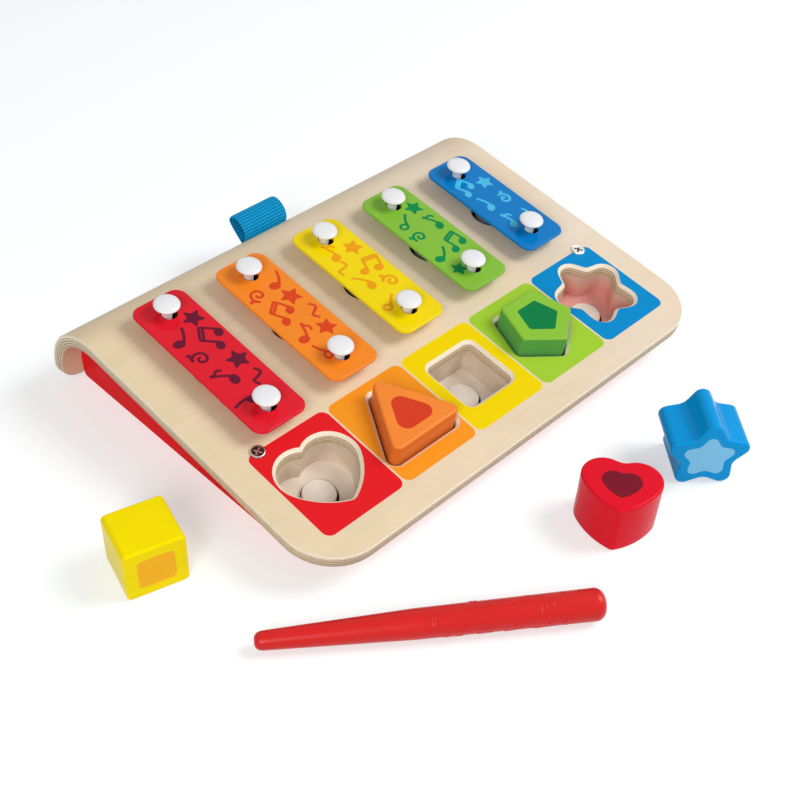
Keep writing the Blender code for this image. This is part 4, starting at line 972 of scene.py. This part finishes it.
def strap_end(side):
    # From the tail's end, along the inside of the curl, round the slot's edge and out.
    off = (loop_thickness + strap_gap) / 2
    places = [(inner - bend, off + bend + tail * share) for share in (1, 0.5, 0)]
    places += [(inner - bend * cos(t), off + bend * (1 - sin(t))) for t in (pi / 4, pi / 2)]
    places.append((curl_radius, off))
    return [round_curl(radius, slot_angle + side * away / radius) for radius, away in places]


root = np.array(round_curl(curl_radius, slot_angle))
along = np.array([cos(slot_angle + lean), sin(slot_angle + lean)])
across = np.array([-along[1], along[0]])
shares = ((0.14, -0.12), (0.45, -0.14), (0.75, -0.12), (0.92, -0.02), (0.97, 0.24), (0.90, 0.60),
          (0.70, 0.86), (0.44, 0.90), (0.22, 0.70), (0.08, 0.32))
middle = [tuple(root + along * loop_reach * a + across * loop_height * b) for a, b in shares]
path = np.array(smooth_line(strap_end(-1) + middle + strap_end(1)[::-1], 16))
steps_along = np.concatenate([[0], np.cumsum(np.linalg.norm(np.diff(path, axis=0), axis=1))])
print("strap is", round(1000 * steps_along[-1], 1), "mm long")

# %% [markdown]
# The strap is a flat tube round that path, thinner at its two selvedges. Each vertex keeps its place on
# the strap, across and along, for the ribs and for the weave.

# %% Strap
selvedge, half_thick = 0.35, 0.43
tangents = np.gradient(path, axis=0)
tangents /= np.linalg.norm(tangents, axis=1)[:, None]
normals = np.stack([-tangents[:, 1], tangents[:, 0]], axis=1)
columns = np.linspace(-loop_width / 2, loop_width / 2, 25)
shell = bmesh.new()
rows = []
for here, normal in zip(path, normals):
    ring = []
    for sign, cross in ((1, columns), (-1, columns[::-1])):
        for x in cross:
            thin = selvedge if abs(x) > loop_width / 2 - 1e-6 else 1.0
            y, z = here + normal * sign * thin * loop_thickness * half_thick
            ring.append(shell.verts.new((x, y, z)))
    rows.append(ring)
wall(shell, rows)
shell.faces.new(rows[0])
shell.faces.new(rows[-1][::-1])
strap_mesh = as_mesh(shell)
on_strap = [(vertex.co.x, steps_along[vertex.index // len(rows[0])], 0) for vertex in strap_mesh.vertices]
strap_place = strap_mesh.attributes.new("strap_place", "FLOAT_VECTOR", "POINT")
strap_place.data.foreach_set("vector", np.array(on_strap, np.float32).ravel())
print("strap:", len(rows), "rows of", len(rows[0]), "vertices")

# %% [markdown]
# A node tree raises a rib at every step of the path: a cosine of the place along the strap pushes the
# surface out and in.

# %% Ribs
ribs, given, result = new_tree("rib_the_webbing", [
    ("Rib Pitch", "NodeSocketFloat"), ("Rib Height", "NodeSocketFloat"), ("Cloth", "NodeSocketMaterial")])
place = add(ribs, "GeometryNodeInputNamedAttribute", {"Name": "strap_place"}, data_type="FLOAT_VECTOR")
apart = add(ribs, "ShaderNodeSeparateXYZ", [place])
count = add(ribs, "ShaderNodeMath", [apart.outputs[1], given.outputs["Rib Pitch"]], operation="DIVIDE")
phase = add(ribs, "ShaderNodeMath", [count, 2 * pi], operation="MULTIPLY")
wave = add(ribs, "ShaderNodeMath", [phase], operation="COSINE")
height = add(ribs, "ShaderNodeMath", [wave, given.outputs["Rib Height"]], operation="MULTIPLY")
outwards = add(ribs, "GeometryNodeInputNormal")
push = add(ribs, "ShaderNodeVectorMath", {0: outwards, 3: height}, operation="SCALE")
raised = add(ribs, "GeometryNodeSetPosition", {"Geometry": given.outputs["Geometry"], "Offset": push})
end_tree(ribs, result, raised, given.outputs["Cloth"])
print("rib tree:", len(ribs.nodes), "nodes")

# %% [markdown]
# The weave is nylon, with a soft sheen. Two waves, along and across, give each stitch its height, and the
# same number sets its colour: painted shade darkens the gaps between the stitches, and their tops are painted
# lighter.

# %% Nylon webbing
webbing, tree, shader = new_finish("blue_nylon_webbing")
rib_pitch, stitch_pitch, rib_height, stitch_depth = 0.0021, 0.0018, 0.00018, 0.0005
place = add(tree, "ShaderNodeAttribute", attribute_name="strap_place")
axes = add(tree, "ShaderNodeSeparateXYZ", [place.outputs["Vector"]])
waves = []
for axis, pitch in ((1, rib_pitch), (0, stitch_pitch)):
    turns = add(tree, "ShaderNodeMath", [axes.outputs[axis], 2 * pi / pitch], operation="MULTIPLY")
    waves.append(add(tree, "ShaderNodeMath", [turns], operation="COSINE"))
weave = add(tree, "ShaderNodeMath", waves, operation="ADD")
level = add(tree, "ShaderNodeMapRange", [weave, -2.0, 2.0, 0.0, 1.0])
# Painted shade darkens the gaps between the stitches, and the stitches' tops are painted lighter
weave_with_painted_shade = ramp(add(tree, "ShaderNodeValToRGB", [level]),
             [(0.06, "#075788"), (0.36, "#0B90CA"), (0.85, "#1CB2EA")])
relief = add(tree, "ShaderNodeBump", {"Height": level, "Strength": 1.0, "Distance": stitch_depth})
feed(tree, shader, {"Base Color": weave_with_painted_shade, "Roughness": 0.7, "Specular IOR Level": 0.06, "Normal": relief})
strap_mesh = run_tree(strap_mesh, ribs, {"Rib Pitch": rib_pitch, "Rib Height": rib_height, "Cloth": webbing})
dress("webbing_strap", strap_mesh, webbing, "toy_board", replaces=["webbing_loop"], crease=60, even=False)
print("ribs:", round(steps_along[-1] / rib_pitch))

# %% [markdown]
# ## Blocks
# The blocks are beech, cut to their outline, with edges sanded round, then sprayed. The small shape on top
# is pad printed: a film of ink on the face, in a second colour. Three lie or stand on the floor, and two
# stand in their wells.

# %% Places of the blocks
block_height, block_round, block_proud, film_up, film_down = 0.0343, 0.0016, 0.0125, 0.00005, 0.0002
left_front = Vector((-board_width / 2, -base_middle_y, 0))


def on_floor(place, turn, height=0.0, lying=False):
    # A place on the floor, from the board's left front corner. A lying block is turned onto its side.
    spot = left_front + Vector((*place, height))
    back = Vector((-sin(turn), cos(turn), 0)) * block_height / 2 if lying else Vector((0, 0, 0))
    lie = Matrix.Rotation(pi / 2, 4, "X") if lying else Matrix()
    return Matrix.Translation(spot + back) @ Matrix.Rotation(turn, 4, "Z") @ lie


def in_well(x, v):
    return board_place @ Matrix.Translation((x, v, block_proud - block_height))


star_drop = -min(y for _, y in star(0.0))
heart_mark, heart_mark_up = heart_outline(0.49, 0.0045, 0.0090), 0.0092
block_list = {
    "heart": (sanded_heart, lambda grow: [(x, y + heart_mark_up) for x, y in heart_mark(grow)],
              on_floor((0.1503, -0.0773), radians(-55))),
    "square": (square, polygon_outline(4, 0.0108, 0.0032, pi / 4),
               on_floor((-0.0520, 0.0897), radians(-15.5), 0.0181, True)),
    "star": (star, star_outline(0.0195, 0.0108, 0.0038, 0.0042),
             on_floor((0.2430, -0.0695), radians(-40.6), star_drop, True)),
    "triangle": (triangle, polygon_outline(3, 0.0097, 0.0060, pi / 2), in_well(row_x[1], wells["orange"][1])),
    "pentagon": (pentagon, polygon_outline(5, 0.0114, 0.0020, -pi / 2), in_well(row_x[3], wells["green"][1])),
}

# %% Blocks and their printed shapes
for shape, (outline, mark, at) in block_list.items():
    body = shape + "_block_body"
    cut = cut_sheet(outline, block_height, 0.0, block_round, steps=6)
    dress("painted_block_" + shape, cut, lacquers[shape], body, at, [shape + "_block"])
    film = cut_sheet(mark, block_height + film_up, block_height - film_down, 0.0)
    dress("printed_mark_" + shape, film, insets[shape], body, at, even=False)
print("blocks:", ", ".join(block_list))

# %% [markdown]
# ## Beater stick
# The stick is turned on a lathe: slim at one end, full along the hand's half. It lies on the floor, so it
# leans by the difference of its radii.

# %% Stick
stick_length, thin_r, middle_r, thick_r, end_round = 0.190, 0.0051, 0.0084, 0.0092, 0.0058
tip_in, tip_long, touches_in = 0.0038, 0.0040, 0.0030
stick_spot, stick_turn = (-0.0446, 0.0079), radians(-35.8)
stick_middle = stick_length * 0.45


def stick_radius(s):
    if s < stick_middle:
        return thin_r + (middle_r - thin_r) * s / stick_middle
    return middle_r + (thick_r - middle_r) * (s - stick_middle) / (stick_length - stick_middle)


profile = [(0, stick_length)]
profile += [(thick_r - out, stick_length - down) for out, down in quarter(end_round, 11)]
profile += [(stick_radius(s), s) for s in np.linspace(stick_length - end_round - 0.001, tip_long, 60)]
profile += [(thin_r - tip_in * (1 - cos(t)), tip_long * (1 - sin(t))) for t in np.linspace(0.2, pi / 2, 9)]
profile.append((0, 0))
stick_lean = asin((thick_r - middle_r) / (stick_length - touches_in - stick_middle))
stick_foot = left_front + Vector((*stick_spot, middle_r - stick_middle * sin(stick_lean)))
stick_place = (Matrix.Translation(stick_foot) @ Matrix.Rotation(stick_turn, 4, "Z")
               @ Matrix.Rotation(pi / 2 - stick_lean, 4, "Y"))
dress("turned_stick", turn_on_lathe(profile, 72), stick_lacquer, "tapered_stick_body", stick_place,
      ["tapered_stick"])
print("stick leans", round(1000 * stick_lean, 1), "milliradians")

# %% [markdown]
# Small notes stand in relief on the hand's half. They are drawn flat with the same brush tree, then
# wrapped round the stick: along stays along, across becomes an angle, and height is added to the radius.

# %% Notes in relief
relief_width, relief_height = 0.0012, 0.00028
relief_places = [
    ("paired", 0.098, 0.004, 80, 0.9), ("single", 0.114, -0.006, 60, 1.0), ("star", 0.127, 0.003, 10, 1.0),
    ("flagged", 0.142, -0.004, 100, 1.0), ("curl", 0.157, 0.004, 40, 0.7), ("wave", 0.171, -0.003, 20, 1.0),
    ("paired", 0.106, 0.0150, 100, 0.9), ("star", 0.122, 0.0160, 0, 0.9), ("single", 0.137, 0.0150, 70, 0.9),
    ("flagged", 0.154, 0.0155, 90, 0.9), ("star", 0.168, 0.0150, 20, 0.8), ("open", 0.120, -0.0160, 40, 0.9),
    ("curl", 0.140, -0.0160, 10, 0.6), ("single", 0.160, -0.0150, 120, 0.9)]
relief_mesh = doodle_mesh(relief_places, relief_width, relief_height, stick_lacquer)
for vertex in relief_mesh.vertices:
    s, t, rise = vertex.co
    radius = stick_radius(s) + rise
    # The drawing's middle line lies on the stick's upper side
    angle = pi + t / stick_radius(s)
    vertex.co = (radius * cos(angle), radius * sin(angle), s)
# Wrapping mirrors the drawing, so its faces are turned outwards again
relief_mesh.flip_normals()
dress("pressed_notes", relief_mesh, stick_lacquer, "tapered_stick_body", stick_place, even=False)
print("notes in relief:", len(relief_places))
